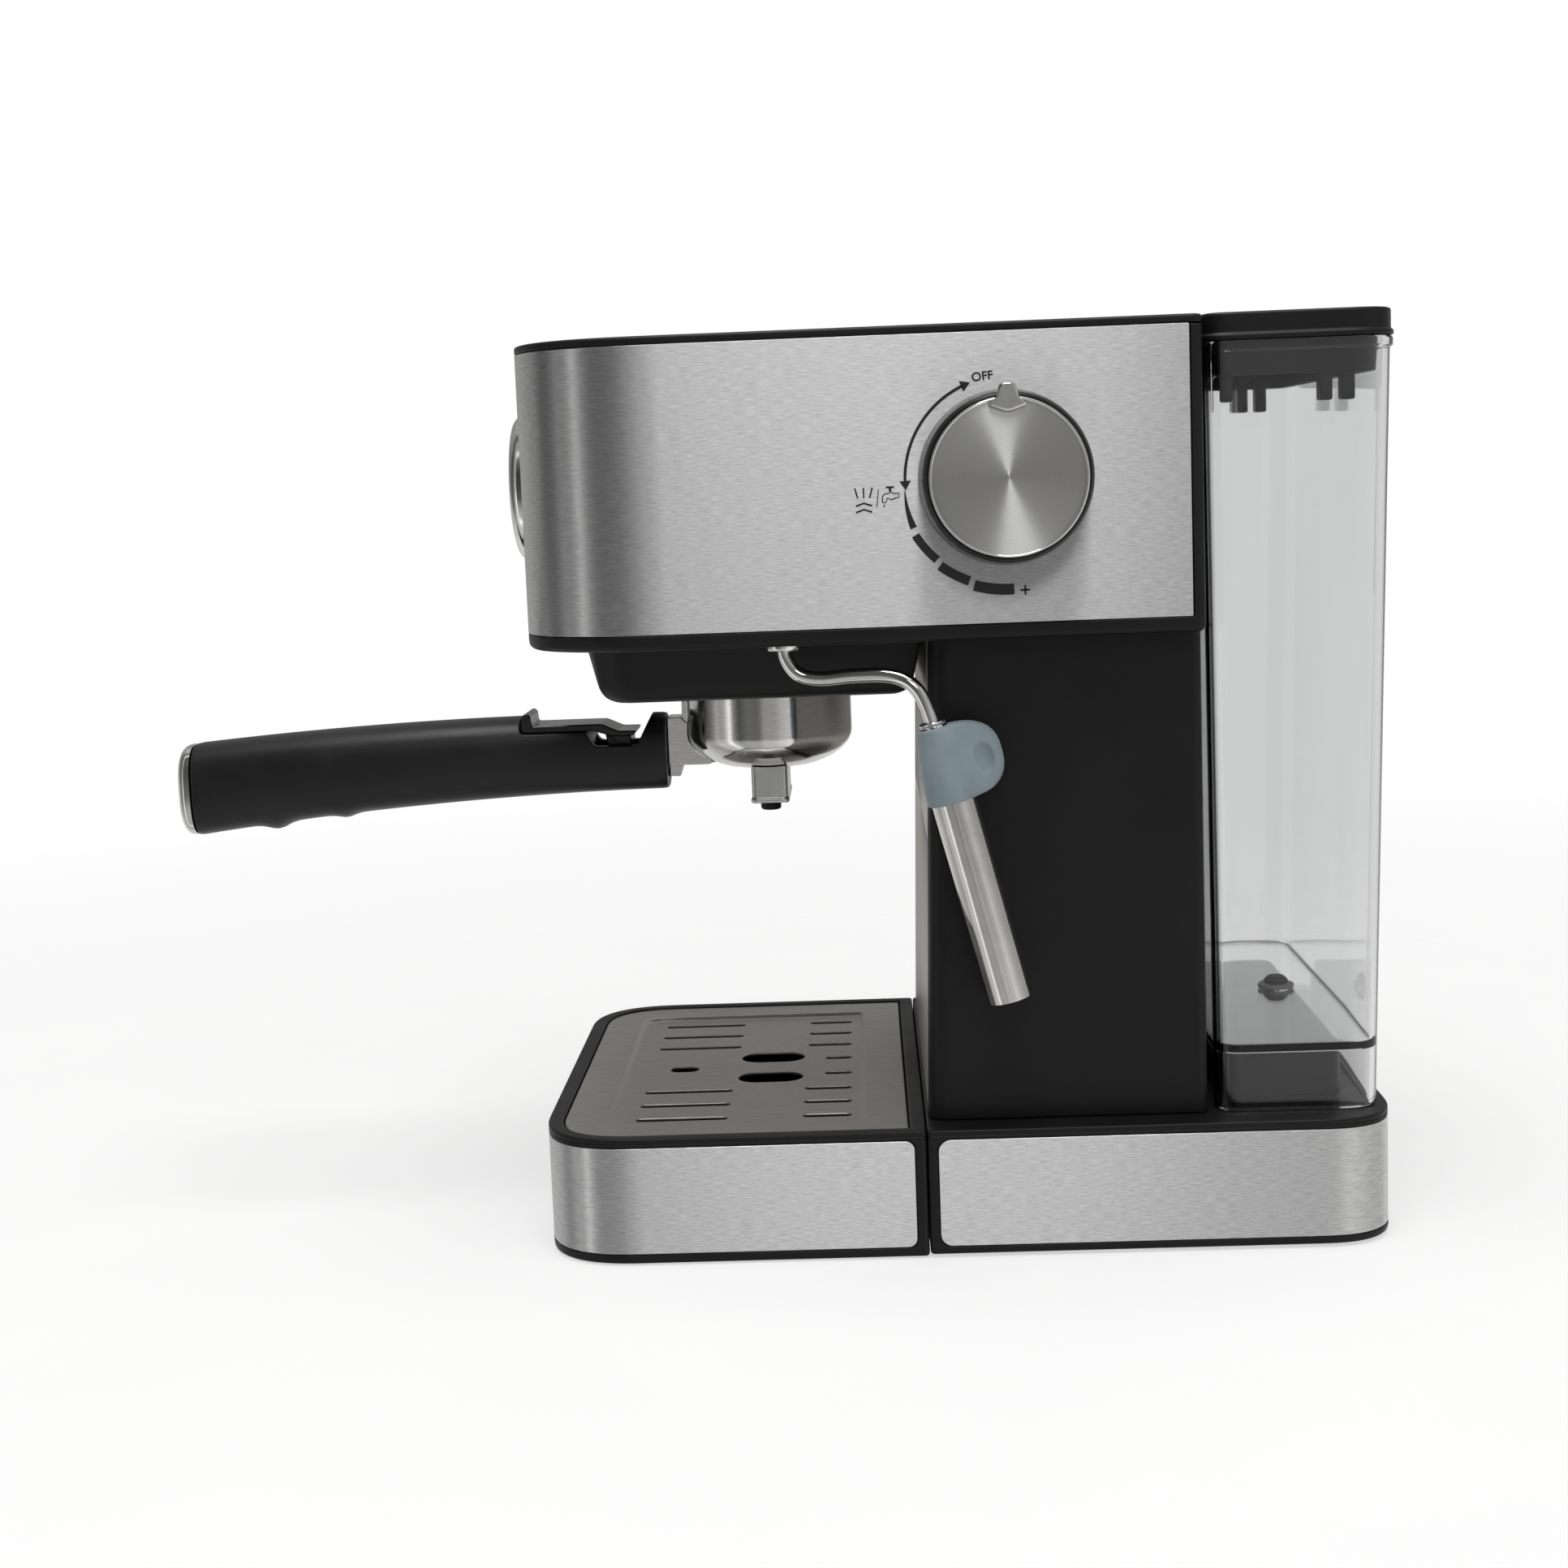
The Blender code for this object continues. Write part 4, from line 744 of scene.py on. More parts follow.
def warming_plate(pocket):
    """Plate with a raised rim and ribs across its field, in the cover's pocket."""
    field = TOP_Z - 0.3
    rim = TOP_Z + 0.1
    levels = [(GAP, TOP_Z - 1.1), (GAP, rim), (2.2, rim), (3.8, field), (6.0, field)]
    warmer = solid("warming_plate", stack(pocket, levels, 0.6))
    margin = 14.0 + GAP
    pitch = 11.0
    rib = Outline(2.6, pocket.front + margin, pocket.rear - margin, 2.0, 2.0)
    ribs = bmesh.new()
    for i in range(-6, 7):
        stack(rib, [(0.0, field - 0.4), (0.0, field), (1.6, field + 0.55)], 0.3, (i * pitch, 0.0), ribs)
    fuse(warmer, ribs)
    dress(warmer, TOP_STEEL, "machine", "brushed_steel", "cup_warming_plate", bevel=0.1)


def cup_icon(bm, x, place):
    """A cup's outline, its ear and its saucer."""
    for stroke, width in (([(-1.6, 1.2), (-1.2, -1.2), (1.2, -1.2), (1.6, 1.2), (-1.6, 1.2)], 0.35),
                          ([(1.5, 0.7), (2.4, 0.5), (2.3, -0.3), (1.3, -0.5)], 0.3),
                          ([(-2.0, -1.9), (2.0, -1.9)], 0.35)):
        ribbon(bm, [(x + u, v) for u, v in stroke], width, place)


def buttons():
    """Dished caps, each with a chrome ring and a printed sign: power, one cup and two cups."""
    cap = [(0.0, -7.5), (9.0, -7.5), (9.9, -6.8), (9.9, -0.9), (9.4, -0.2), (8.2, -0.1), (7.0, -0.6),
           (0.0, -0.9)]
    trim = [(7.9, -0.5), (8.9, -0.5), (8.9, 0.05), (8.4, 0.2), (7.9, 0.05)]
    for name in BUTTONS:
        spot = centre(name)
        base = (spot.x, spot.y, TOP_Z)
        place_part(name + "_cap", turned(cap, base), GLOSS, name, "gloss_black", name)
        place_part(name + "_trim", turned(trim, base, soft=0.15), CHROME, name, "chrome")
        place = face_of((spot.x, spot.y, TOP_Z - 0.82), X_OUT, Y_OUT)
        sign = bmesh.new()
        if name == "power_button":
            ribbon(sign, arc(0.0, -0.2, 2.6, 120, 420, 30), 0.45, place)
            ribbon(sign, [(0.0, 0.6), (0.0, 3.2)], 0.45, place)
        elif name == "one_cup_button":
            cup_icon(sign, 0.0, place)
        else:
            cup_icon(sign, -2.7, place)
            cup_icon(sign, 2.7, place)
        place_part(name + "_sign", sign, INK_WHITE, name, "dial_white")


# ---------------------------------------------------------------- gauge and knob


SCALE_MOST = 15
SCALE_START = -120.0
SCALE_SWEEP = 240.0


def pressure_gauge():
    can = [(0.0, -26.0), (20.5, -26.0), (22.2, -24.0), (22.2, 1.9), (0.0, 1.9)]
    bezel = [(22.6, 0.3), (27.3, 0.3), (27.3, 3.0), (26.3, 6.7), (24.3, 8.7), (22.0, 9.3), (21.6, 7.9),
             (22.6, 7.3)]
    face = [(0.0, 2.2), (22.0, 2.2), (22.0, 2.8), (0.0, 2.8)]
    lens = [(0.0, 5.9), (22.2, 5.9), (22.2, 6.9), (14.0, 7.4), (0.0, 7.7)]
    for name, profile, soft, look, slot_name, stands_for in (
            ("gauge_can", can, 0.35, BLACK, "black_plastic", "gauge_body"),
            ("gauge_ring", bezel, 0.9, CHROME, "chrome", "gauge_bezel"),
            ("gauge_face", face, 0.35, DIAL_WHITE, "dial_white", "gauge_dial"),
            ("gauge_glass", lens, 0.35, LENS_CLEAR, "clear_plastic", "gauge_lens")):
        place_part(name, turned(profile, GAUGE, FORWARD, soft=soft), look, "machine", slot_name, stands_for)
    gauge_scale()
    needle()


def on_dial(clockwise, radius):
    """Flat point on the dial at an angle from straight up."""
    angle = math.radians(clockwise)
    return radius * math.sin(angle), radius * math.cos(angle)


def gauge_scale():
    """A scale of generic numbers, with a green stretch where coffee brews."""
    place = face_of((0.0, -2.81, GAUGE.z), X_OUT, Z_UP)
    marks = bmesh.new()
    for step in range(SCALE_MOST + 1):
        turn = SCALE_START + SCALE_SWEEP * step / SCALE_MOST
        if step % 5:
            ribbon(marks, [on_dial(turn, 18.6), on_dial(turn, 16.6)], 0.35, place)
        else:
            ribbon(marks, [on_dial(turn, 18.6), on_dial(turn, 15.0)], 0.7, place)
            lettering(marks, str(step), 4.2, on_dial(turn, 11.4), place)
    ribbon(marks, [on_dial(SCALE_START + SCALE_SWEEP * i / 60, 19.4) for i in range(61)], 0.4, place)
    place_part("gauge_marks", marks, INK_BLACK, "machine", "dial_white")
    zone = bmesh.new()
    start, stop = (SCALE_START + SCALE_SWEEP * v / SCALE_MOST for v in (8, 12))
    ribbon(zone, [on_dial(start + (stop - start) * i / 20, 20.4) for i in range(21)], 1.2, place)
    place_part("gauge_zone", zone, INK_GREEN, "machine", "dial_white")


def needle():
    """Red pointer at the zero mark, with its short tail and hub."""
    place = face_of((0.0, -3.7, GAUGE.z), X_OUT, Z_UP)
    blade = [on_dial(SCALE_START, r) for r in (-5.0, 0.0, 12.0, 17.0)]
    half = [0.9, 1.3, 0.6, 0.25]
    sections = []
    for (u, v), w in zip(blade, half):
        side = Vector(on_dial(SCALE_START + 90.0, w))
        sections.append([place(u - side.x, v - side.y, h) for h in (0.0, 0.8)]
                        + [place(u + side.x, v + side.y, h) for h in (0.8, 0.0)])
    pointer = solid("needle", loft(sections))
    hub = [(0.0, 3.4), (2.6, 3.4), (2.6, 4.7), (1.8, 5.2), (0.0, 5.2)]
    fuse(pointer, turned(hub, GAUGE, FORWARD, SMALL_SEGMENTS))
    dress(pointer, NEEDLE_RED, "gauge_needle", "needle_red", "gauge_needle", bevel=0.08)


def steam_knob():
    """Black skirt with a stepped edge, a spun face with a polished rim, and the raised pointer."""
    skirt = [(5.2, 0.8), (27.4, 0.8), (27.9, 1.8), (27.9, 4.0), (26.9, 16.4), (26.6, 18.0), (26.0, 19.2),
             (25.35, 19.1), (25.35, 18.2), (5.2, 18.2)]
    face = [(0.0, 18.5), (24.1, 18.5), (24.1, 20.2), (0.0, 20.2)]
    rim = [(24.2, 18.5), (25.1, 18.5), (25.1, 20.2), (24.75, 20.8), (24.35, 20.8), (24.0, 20.4), (24.2, 20.2)]
    for name, profile, soft, look, slot_name, stands_for in (
            ("knob_skirt", skirt, 0.35, GLOSS, "black_plastic", ["steam_knob_body"]),
            ("knob_face", face, 0.1, SPUN, "chrome", ["steam_knob_face"]),
            ("knob_rim", rim, 0.2, CHROME, "chrome", [])):
        shape = turned(profile, KNOB, X_OUT, KNOB_SEGMENTS, soft)
        place_part(name, shape, look, "steam_knob", slot_name, *stands_for)
    tip = [(-6.4, 22.2), (-4.8, 23.4), (-3.5, 25.0), (-2.7, 28.2), (-1.4, 29.4), (1.4, 29.4), (2.7, 28.2),
           (3.5, 25.0), (4.8, 23.4), (6.4, 22.2), (4.6, 21.6), (2.0, 20.6), (0.0, 20.2), (-2.0, 20.6),
           (-4.6, 21.6)]
    outline = soften(tip, 1.2, closed=True)
    middle = Vector((0.0, 24.6))
    loops = []
    for x, share in ((19.4, 1.0), (20.9, 1.0), (21.4, 0.94), (21.7, 0.80)):
        flat = [middle + (Vector(p) - middle) * share for p in outline]
        loops.append([(HEAD.half + x, KNOB.y + p.x, KNOB.z + p.y) for p in flat])
    place_part("knob_pointer", loft(loops), CHROME, "steam_knob", "chrome")


def steam_sign(bm, at, place):
    """Three rays over two rising waves."""
    for side, lean in ((-1.9, -0.9), (0.0, 0.0), (1.9, 0.9)):
        ribbon(bm, [at + Vector((side, 0.6)), at + Vector((side + lean, 3.9))], 0.5, place)
    for drop in (-1.0, -3.0):
        wave = [at + Vector((-2.6 + 5.2 * i / 12, drop - 0.9 * abs(i / 6 - 1))) for i in range(13)]
        ribbon(bm, wave, 0.55, place)


def tap_sign(bm, at, place):
    """A tap in outline, with its handle and a drop."""
    body = [(-2.6, -1.7), (-2.6, 0.2), (-1.7, 1.1), (-0.6, 1.1), (0.0, 1.7), (1.0, 1.1), (2.7, 1.1),
            (2.7, -0.2), (1.6, -0.4), (0.2, -0.9), (-1.0, -0.3), (-1.5, -1.7), (-2.6, -1.7)]
    for stroke, width in ((body, 0.36), ([(-0.1, 1.8), (-0.1, 2.8)], 0.8), ([(-1.4, 3.1), (1.2, 3.1)], 0.6),
                          ([(-2.1, -2.3), (-2.1, -3.2)], 0.4)):
        ribbon(bm, [at + Vector(p) for p in stroke], width, place)


def knob_marks():
    """Marks round the knob on the head's side: off, the travel arrow, growing bars, a plus and two signs."""
    place = face_of((HEAD.half + 0.01, KNOB.y, KNOB.z), Y_OUT, Z_UP)
    marks = bmesh.new()
    travel = 32.0
    ribbon(marks, arc(0, 0, travel, 114, 180, 40), 0.95, place)
    for angle, towards in ((114.5, -1), (180.0, 1)):
        ribbon(marks, arc(0, 0, travel, angle, angle + towards * 5.4, 1), [3.7, 0.05], place)
    wedge = [arc(0, 0, 32.3 + i / 12, 185.5 + 21.5 * i / 12, 0, 1)[0] for i in range(13)]
    ribbon(marks, wedge, [0.3 + 2.0 * i / 12 for i in range(13)], place)
    for start, stop, radius, width in ((210.8, 228.6, 34.0, 2.7), (231.8, 249.4, 34.9, 3.1),
                                       (252.4, 273.2, 35.8, 3.5)):
        ribbon(marks, arc(0, 0, radius, start, stop, 18), width, place)
    plus = Vector(arc(0, 0, 36.6, 278.7, 278.7, 1)[0])
    for step in (Vector((1.55, 0.0)), Vector((0.0, 1.55))):
        ribbon(marks, [plus - step, plus + step], 0.65, place)
    lettering(marks, "OFF", 3.9, (-6.5, 32.0), place, 5.0)
    slash = Vector((-41.0, -5.2))
    ribbon(marks, [slash - Vector((0.3, 2.9)), slash + Vector((0.4, 2.9))], 0.3, place)
    steam_sign(marks, slash - Vector((4.4, 0.4)), place)
    tap_sign(marks, slash + Vector((4.2, 0.3)), place)
    place_part("knob_marks", marks, INK_BLACK, "machine", "black_plastic")


# ---------------------------------------------------------------- group and portafilter


def group_housing():
    levels = [(16.0, HOUSING_Z), (9.0, HOUSING_Z + 0.4), (5.6, HOUSING_Z + 2.0), (3.6, HOUSING_Z + 5.0),
              (0.0, HEAD_Z - GAP), (2.6, HEAD_Z - GAP), (6.0, HOUSING_Z + 6.0), (16.0, HOUSING_Z + 2.8)]
    housing = solid("group_cowl", stack(HOUSING, levels, 2.0))
    carve(housing, disc(42.2, -8.0, 16.0, (GROUP.x, GROUP.y, HOUSING_Z), Z_UP))
    dress(housing, BLACK, "machine", "black_plastic", "group_housing", bevel=0.3)


HANDLE_INNER_Y = span("portafilter_handle")[1].y
HANDLE_OUTER_Y = span("portafilter_handle")[0].y
HANDLE_SECTIONS = 90
HANDLE_SIDES = 56
HANDLE_ROUNDNESS = 0.72  # exponent of its section, 1 for an ellipse and less for a squarer one
FINGER_BUMPS = ((-104.2, 2.2, 4.6), (-78.4, 1.3, 3.6))  # each one's place along Y, its height and its spread
STUD_Z = 155.2


def handle_section(y, shrink=0.0, at=None):
    """One loop of the handle, which arches and droops outwards and has two finger bumps under it."""
    out = (HANDLE_INNER_Y - y) / (HANDLE_INNER_Y - HANDLE_OUTER_Y)
    top = 176.3 + 4.2 * out - 9.6 * out ** 2
    bottom = 148.5 - 0.6 * out - 11.0 * out ** 2
    half_height = (top - bottom) / 2 - shrink
    half_width = 12.6 + 2.2 * math.sin(math.pi * min(out * 0.8, 1.0)) - shrink
    bump = sum(height * math.exp(-((y - middle) / wide) ** 2) for middle, height, wide in FINGER_BUMPS)
    loop = []
    for i in range(HANDLE_SIDES):
        angle = 2 * math.pi * i / HANDLE_SIDES
        side, up = math.cos(angle), math.sin(angle)
        x = half_width * math.copysign(abs(side) ** HANDLE_ROUNDNESS, side)
        z = (top + bottom) / 2 + half_height * math.copysign(abs(up) ** HANDLE_ROUNDNESS, up)
        if up < 0:
            z -= bump * abs(up) ** 6
        loop.append((x, y if at is None else at, z))
    return loop


def portafilter_handle():
    """The handle, with the clip's bed and pocket cut into it, and the holes of the hinge pin and the stud."""
    step = (HANDLE_OUTER_Y - HANDLE_INNER_Y) / HANDLE_SECTIONS
    loops = [handle_section(HANDLE_INNER_Y, 0.6), handle_section(HANDLE_INNER_Y - 0.25, 0.2)]
    loops += [handle_section(HANDLE_INNER_Y + step * i) for i in range(1, HANDLE_SECTIONS)]
    loops += [handle_section(HANDLE_OUTER_Y + 0.25, 0.15), handle_section(HANDLE_OUTER_Y, 0.5)]
    loops[0] = [(x, HANDLE_INNER_Y, z) for x, _, z in loops[0]]
    handle = solid("handle_grip", loft(loops))
    bed = [(-11.8, 186.0), (-11.8, 172.4), (-10.6, 171.0), (12.6, 171.0), (15.4, 165.8), (31.0, 165.8),
           (36.3, 176.4), (36.3, 186.0)]
    carve(handle, prism(bed, 20.0, 1.4))
    carve(handle, prism([(14.0, 172.0), (14.0, 158.4), (30.6, 158.4), (30.6, 172.0)], 8.4))
    carve(handle, disc(1.9, -11.2, 22.4, CLIP_PIN, X_OUT))
    carve(handle, disc(2.6, -3.0, 78.0, (0.0, HANDLE_INNER_Y, STUD_Z), FORWARD))
    dress(handle, HANDLE_BLACK, "portafilter", "black_plastic", "portafilter_handle", bevel=0.35)
    handle_end()
    pin = turned([(0.0, -10.8), (1.5, -10.8), (1.5, 10.8), (0.0, 10.8)], CLIP_PIN, X_OUT, SMALL_SEGMENTS)
    place_part("hinge_pin", pin, CAST, "portafilter", "cast_metal", "clip_pin")


def handle_end():
    """Domed chrome cap on the handle's outer end."""
    depth = HANDLE_OUTER_Y - span("handle_end_cap")[0].y
    cap = [handle_section(HANDLE_OUTER_Y, 0.7, HANDLE_OUTER_Y - 0.35),
           handle_section(HANDLE_OUTER_Y, 0.3, HANDLE_OUTER_Y - 0.6),
           handle_section(HANDLE_OUTER_Y, 0.3, HANDLE_OUTER_Y - 2.0)]
    for i in range(1, 11):
        angle = math.pi / 2 * i / 10
        away = 2.0 + (depth - 2.0) * math.sin(angle)
        cap.append(handle_section(HANDLE_OUTER_Y, 0.3 + 9.0 * (1 - math.cos(angle)), HANDLE_OUTER_Y - away))
    place_part("handle_cap", loft(cap), CHROME, "portafilter", "chrome", "handle_end_cap")


def basket_clip():
    """Lever over the handle, with a nub to push at one end and its hinge lug near the other."""
    side = [(-11.4, 172.2), (-10.4, 171.3), (15.0, 171.3), (22.0, 169.3), (30.0, 169.3), (30.8, 171.1),
            (24.2, 171.2), (18.3, 173.9), (-7.3, 173.9), (-7.6, 177.6), (-9.0, 178.7), (-10.6, 177.9)]
    clip = solid("clip", prism(side, 11.0, 0.9))
    lug = [(19.0, 170.8), (20.6, 161.8), (23.0, 159.8), (27.0, 159.8), (29.0, 161.8), (28.4, 170.2)]
    fuse(clip, prism(lug, 7.8, 0.8))
    carve(clip, disc(1.8, -12.0, 24.0, CLIP_PIN, X_OUT))
    dress(clip, GLOSS, "basket_clip", "gloss_black", "basket_clip", bevel=0.5)


def portafilter_bowl():
    """Cup with three lugs, the arm, collar and stud that carry the handle, and the basket."""
    cup = [(3.7, 155.6), (9.0, 155.6), (17.0, 156.6), (23.0, 159.0), (27.6, 162.2), (30.3, 166.2),
           (30.3, 195.4), (28.9, 195.4), (28.9, 168.0), (24.0, 162.6), (3.7, 158.6)]
    bowl = solid("bowl", turned(cup, GROUP, soft=2.2))
    lugs = bmesh.new()
    for turn in (-90.0, 30.0, 150.0):
        outer = arc(GROUP.x, GROUP.y, 35.3, turn - 13.0, turn + 13.0, 12)
        inner = arc(GROUP.x, GROUP.y, 29.4, turn + 13.0, turn - 13.0, 12)
        loft([[(x, y, z) for x, y in outer + inner] for z in (189.4, 193.2)], bm=lugs)
    fuse(bowl, lugs)
    inner_y = HANDLE_INNER_Y + GAP
    arm = [(inner_y, 174.9), (49.8, 174.9), (49.8, 166.0), (59.4, 159.6), (59.4, 158.2), (56.5, 157.2),
           (inner_y, 157.2)]
    collar = [(47.4, 181.0), (49.8, 181.0), (49.8, 172.6), (47.4, 174.0)]
    link = [(inner_y, 158.0), (47.4, 158.0), (45.7, 152.8), (inner_y, 152.8)]
    for profile, half, soft in ((arm, 6.0, 0.8), (collar, 7.0, 0.8), (link, 3.0, 0.4)):
        fuse(bowl, prism(profile, half, soft))
    fuse(bowl, disc(2.2, 0.0, 70.0, (0.0, 45.3, STUD_Z), FORWARD))
    dress(bowl, BOWL_STEEL, "portafilter", "chrome", "portafilter_bowl", bevel=0.4)
    basket = [(0.0, 172.0), (24.6, 172.0), (26.4, 174.0), (28.4, 193.0), (28.4, 195.8), (30.2, 195.8),
              (30.2, 196.6), (27.7, 196.6), (27.7, 193.0), (25.8, 174.8), (24.2, 172.8), (0.0, 172.8)]
    place_part("basket", turned(basket, GROUP), SATIN_CHROME, "portafilter", "chrome", "filter_basket")


def spout():
    """Cast block that fits the bowl's underside, with its neck, and the two black nozzles under it."""
    low, high = span("spout")
    plan = Outline(high.x, low.y, high.y, 1.8, 1.8)
    levels = [(4.0, low.z), (0.0, low.z), (0.0, low.z + 1.5), (0.4, low.z + 2.0), (0.4, 158.4), (4.0, 158.4)]
    block = solid("spout_block", stack(plan, levels, 0.7))
    underside = [(0.0, 155.3), (9.0, 155.3), (17.0, 156.3), (23.0, 158.7), (27.6, 161.9), (0.0, 161.9)]
    carve(block, turned(underside, GROUP, soft=2.2))
    neck = [(0.0, 153.0), (3.3, 153.0), (3.3, 161.0), (0.0, 161.0)]
    fuse(block, turned(neck, GROUP, segments=SMALL_SEGMENTS))
    dress(block, SATIN_CHROME, "portafilter", "chrome", "spout", bevel=0.2)
    profile = [(2.2, 140.8), (3.2, 140.8), (3.7, 141.4), (3.7, 143.5), (2.2, 143.5)]
    for name in ("spout_nozzle_left", "spout_nozzle_right"):
        nozzle = turned(profile, (centre(name).x, GROUP.y, 0.0), segments=SMALL_SEGMENTS)
        place_part(name + "_tip", nozzle, BLACK, "portafilter", "black_plastic", name)


# ---------------------------------------------------------------- steam wand

SLEEVE_TOP = Vector((98.4, 142.4, 153.8))
SLEEVE_DOWN = Vector((0.0, 16.6, -66.2)).normalized()
SLEEVE_LENGTH = 68.4
SLEEVE_RADIUS = 7.6
GRIP_HEIGHT = 25.0
GRIP_RADIUS = 8.9
GRIP_TAPER = 3.3
TAB_REACH = 19.4
TAB_EDGE = 3.3  # radius of the tab's rounded edge
WAND_BENDS = ((0.0, 0.0, 216.0), (0.0, 0.0, 208.0), (0.0, 0.5, 202.0), (0.6, 4.5, 196.2), (2.0, 12.0, 194.4),
              (5.0, 24.0, 195.3), (8.0, 36.0, 194.8), (10.5, 43.6, 190.0))


def on_sleeve(along):
    """The point on the wand's own axis, measured down from the sleeve's visible top."""
    return SLEEVE_TOP + SLEEVE_DOWN * along


def grip_section(along):
    """Half width of the grip's round body, and the reach of its tab, at a place along the wand."""
    radius = GRIP_RADIUS - GRIP_TAPER * (-along / GRIP_HEIGHT) ** 1.6
    middle = -GRIP_HEIGHT / 2
    share = min(abs((along - middle) / (GRIP_HEIGHT / 2)), 1.0)
    return radius, radius + (TAB_REACH - radius) * math.sqrt(1 - share ** 2.6)


def grip_body(back, sideways):
    """Tapered grip that swells out into a thumb tab behind it, one loop for each place along the wand."""
    loops = []
    for i in range(41):
        turn = math.pi * i / 40
        along = -GRIP_HEIGHT / 2 * (1 + math.cos(turn))
        ease = 0.7 * (1 - min(1.0, 12.0 * math.sin(turn) ** 2)) ** 2
        radius, reach = grip_section(along)
        radius -= ease
        far = max(reach - ease - TAB_EDGE, radius - TAB_EDGE + 0.05)
        lean = math.degrees(math.acos((radius - TAB_EDGE) / far))
        outline = arc(0.0, 0.0, radius, lean, 360 - lean, 56) + arc(far, 0.0, TAB_EDGE, -lean, lean, 24)
        loops.append([on_sleeve(along) + back * u + sideways * v for u, v in outline])
    return loft(loops)


def grip_dimples(back, sideways):
    """Two flat ellipsoids that cut the tab's dimples, one on each side."""
    slant = math.radians(19.0)
    dimples = bmesh.new()
    for side in (-1, 1):
        out = sideways * (side * math.cos(slant)) + back * math.sin(slant)
        across = back * math.cos(slant) - sideways * (side * math.sin(slant))
        eye = on_sleeve(-11.6) + back * 13.2 + sideways * (side * 5.1)
        levels = [math.radians(-84 + 168 * i / 12) for i in range(13)]
        loft([[eye + out * (2.6 * math.sin(rise)) + across * (3.7 * math.cos(rise) * u)
               + SLEEVE_DOWN * (5.8 * math.cos(rise) * v) for u, v in arc(0.0, 0.0, 1.0, 0, 352.5, 47)]
              for rise in levels], bm=dimples)
    return dimples


def wand_grip():
    """Silicone grip: hollow for the pipe, the collar and the sleeve, and dimpled on both sides of its tab."""
    back = Vector((0.0, -SLEEVE_DOWN.z, SLEEVE_DOWN.y))
    sideways = Vector(X_OUT)
    grip = solid("grip", grip_body(back, sideways))
    seat = 1.7 - GRIP_HEIGHT
    hollow = [(0.0, -26.0), (4.9, -26.0), (4.9, seat), (2.7, seat), (2.7, -9.0), (7.9, -9.0), (7.9, 1.0),
              (0.0, 1.0)]
    carve(grip, turned(hollow, SLEEVE_TOP, SLEEVE_DOWN, 72))
    carve(grip, grip_dimples(back, sideways))
    dress(grip, SILICONE, "steam_wand", "silicone", "wand_grip", sharp=55)


def steam_wand():
    """Swivel nut, bent pipe, collar, grip, and the sleeve with the nozzle inside it."""
    nut = [(2.9, -2.0), (5.6, -2.0), (6.0, -1.2), (6.0, 8.0), (2.9, 8.0)]
    nut = turned(nut, (WAND.x, WAND.y, HEAD_Z), segments=SMALL_SEGMENTS)
    place_part("swivel_nut", nut, CHROME, "machine", "chrome", "wand_swivel_nut")
    bends = tuple((WAND.x + x, WAND.y + y, z) for x, y, z in WAND_BENDS)
    route = smooth_path(bends + (on_sleeve(-GRIP_HEIGHT), on_sleeve(-8.0)), 10)
    pipe = tube(route + [on_sleeve(SLEEVE_LENGTH - 9.0)], 2.4)
    place_part("pipe", pipe, CHROME, "steam_wand", "chrome", "wand_pipe")
    collar = [(2.7, -2.0), (4.3, -2.0), (4.6, -1.4), (4.1, -0.6), (4.6, 0.2), (4.6, 1.4), (2.7, 1.4)]
    collar = [(radius, along - GRIP_HEIGHT) for radius, along in collar]
    collar = turned(collar, SLEEVE_TOP, SLEEVE_DOWN, SMALL_SEGMENTS, 0.25)
    place_part("collar", collar, CHROME, "steam_wand", "chrome", "wand_collar")
    wand_grip()
    inner = SLEEVE_RADIUS - 0.8
    sleeve = [(inner, -8.4), (SLEEVE_RADIUS, -8.4), (SLEEVE_RADIUS, SLEEVE_LENGTH), (inner, SLEEVE_LENGTH)]
    sleeve = turned(sleeve, SLEEVE_TOP, SLEEVE_DOWN, soft=0.3)
    place_part("sleeve", sleeve, SLEEVE_STEEL, "steam_wand", "brushed_steel", "wand_sleeve")
    nozzle = [(1.0, 60.0), (4.2, 60.0), (4.2, 64.0), (2.6, 67.0), (1.0, 67.0)]
    nozzle = turned(nozzle, SLEEVE_TOP, SLEEVE_DOWN, SMALL_SEGMENTS)
    place_part("nozzle", nozzle, CAST, "steam_wand", "cast_metal", "wand_nozzle")


# ---------------------------------------------------------------- water tank


def tank_ring(inset, z):
    """A loop of the tank, which widens a little towards its rim."""
    share = (z - DECK_Z) / (TANK_RIM_Z - DECK_Z)
    return ring(between(TANK_FOOT, TANK_TOP, share), inset, z)


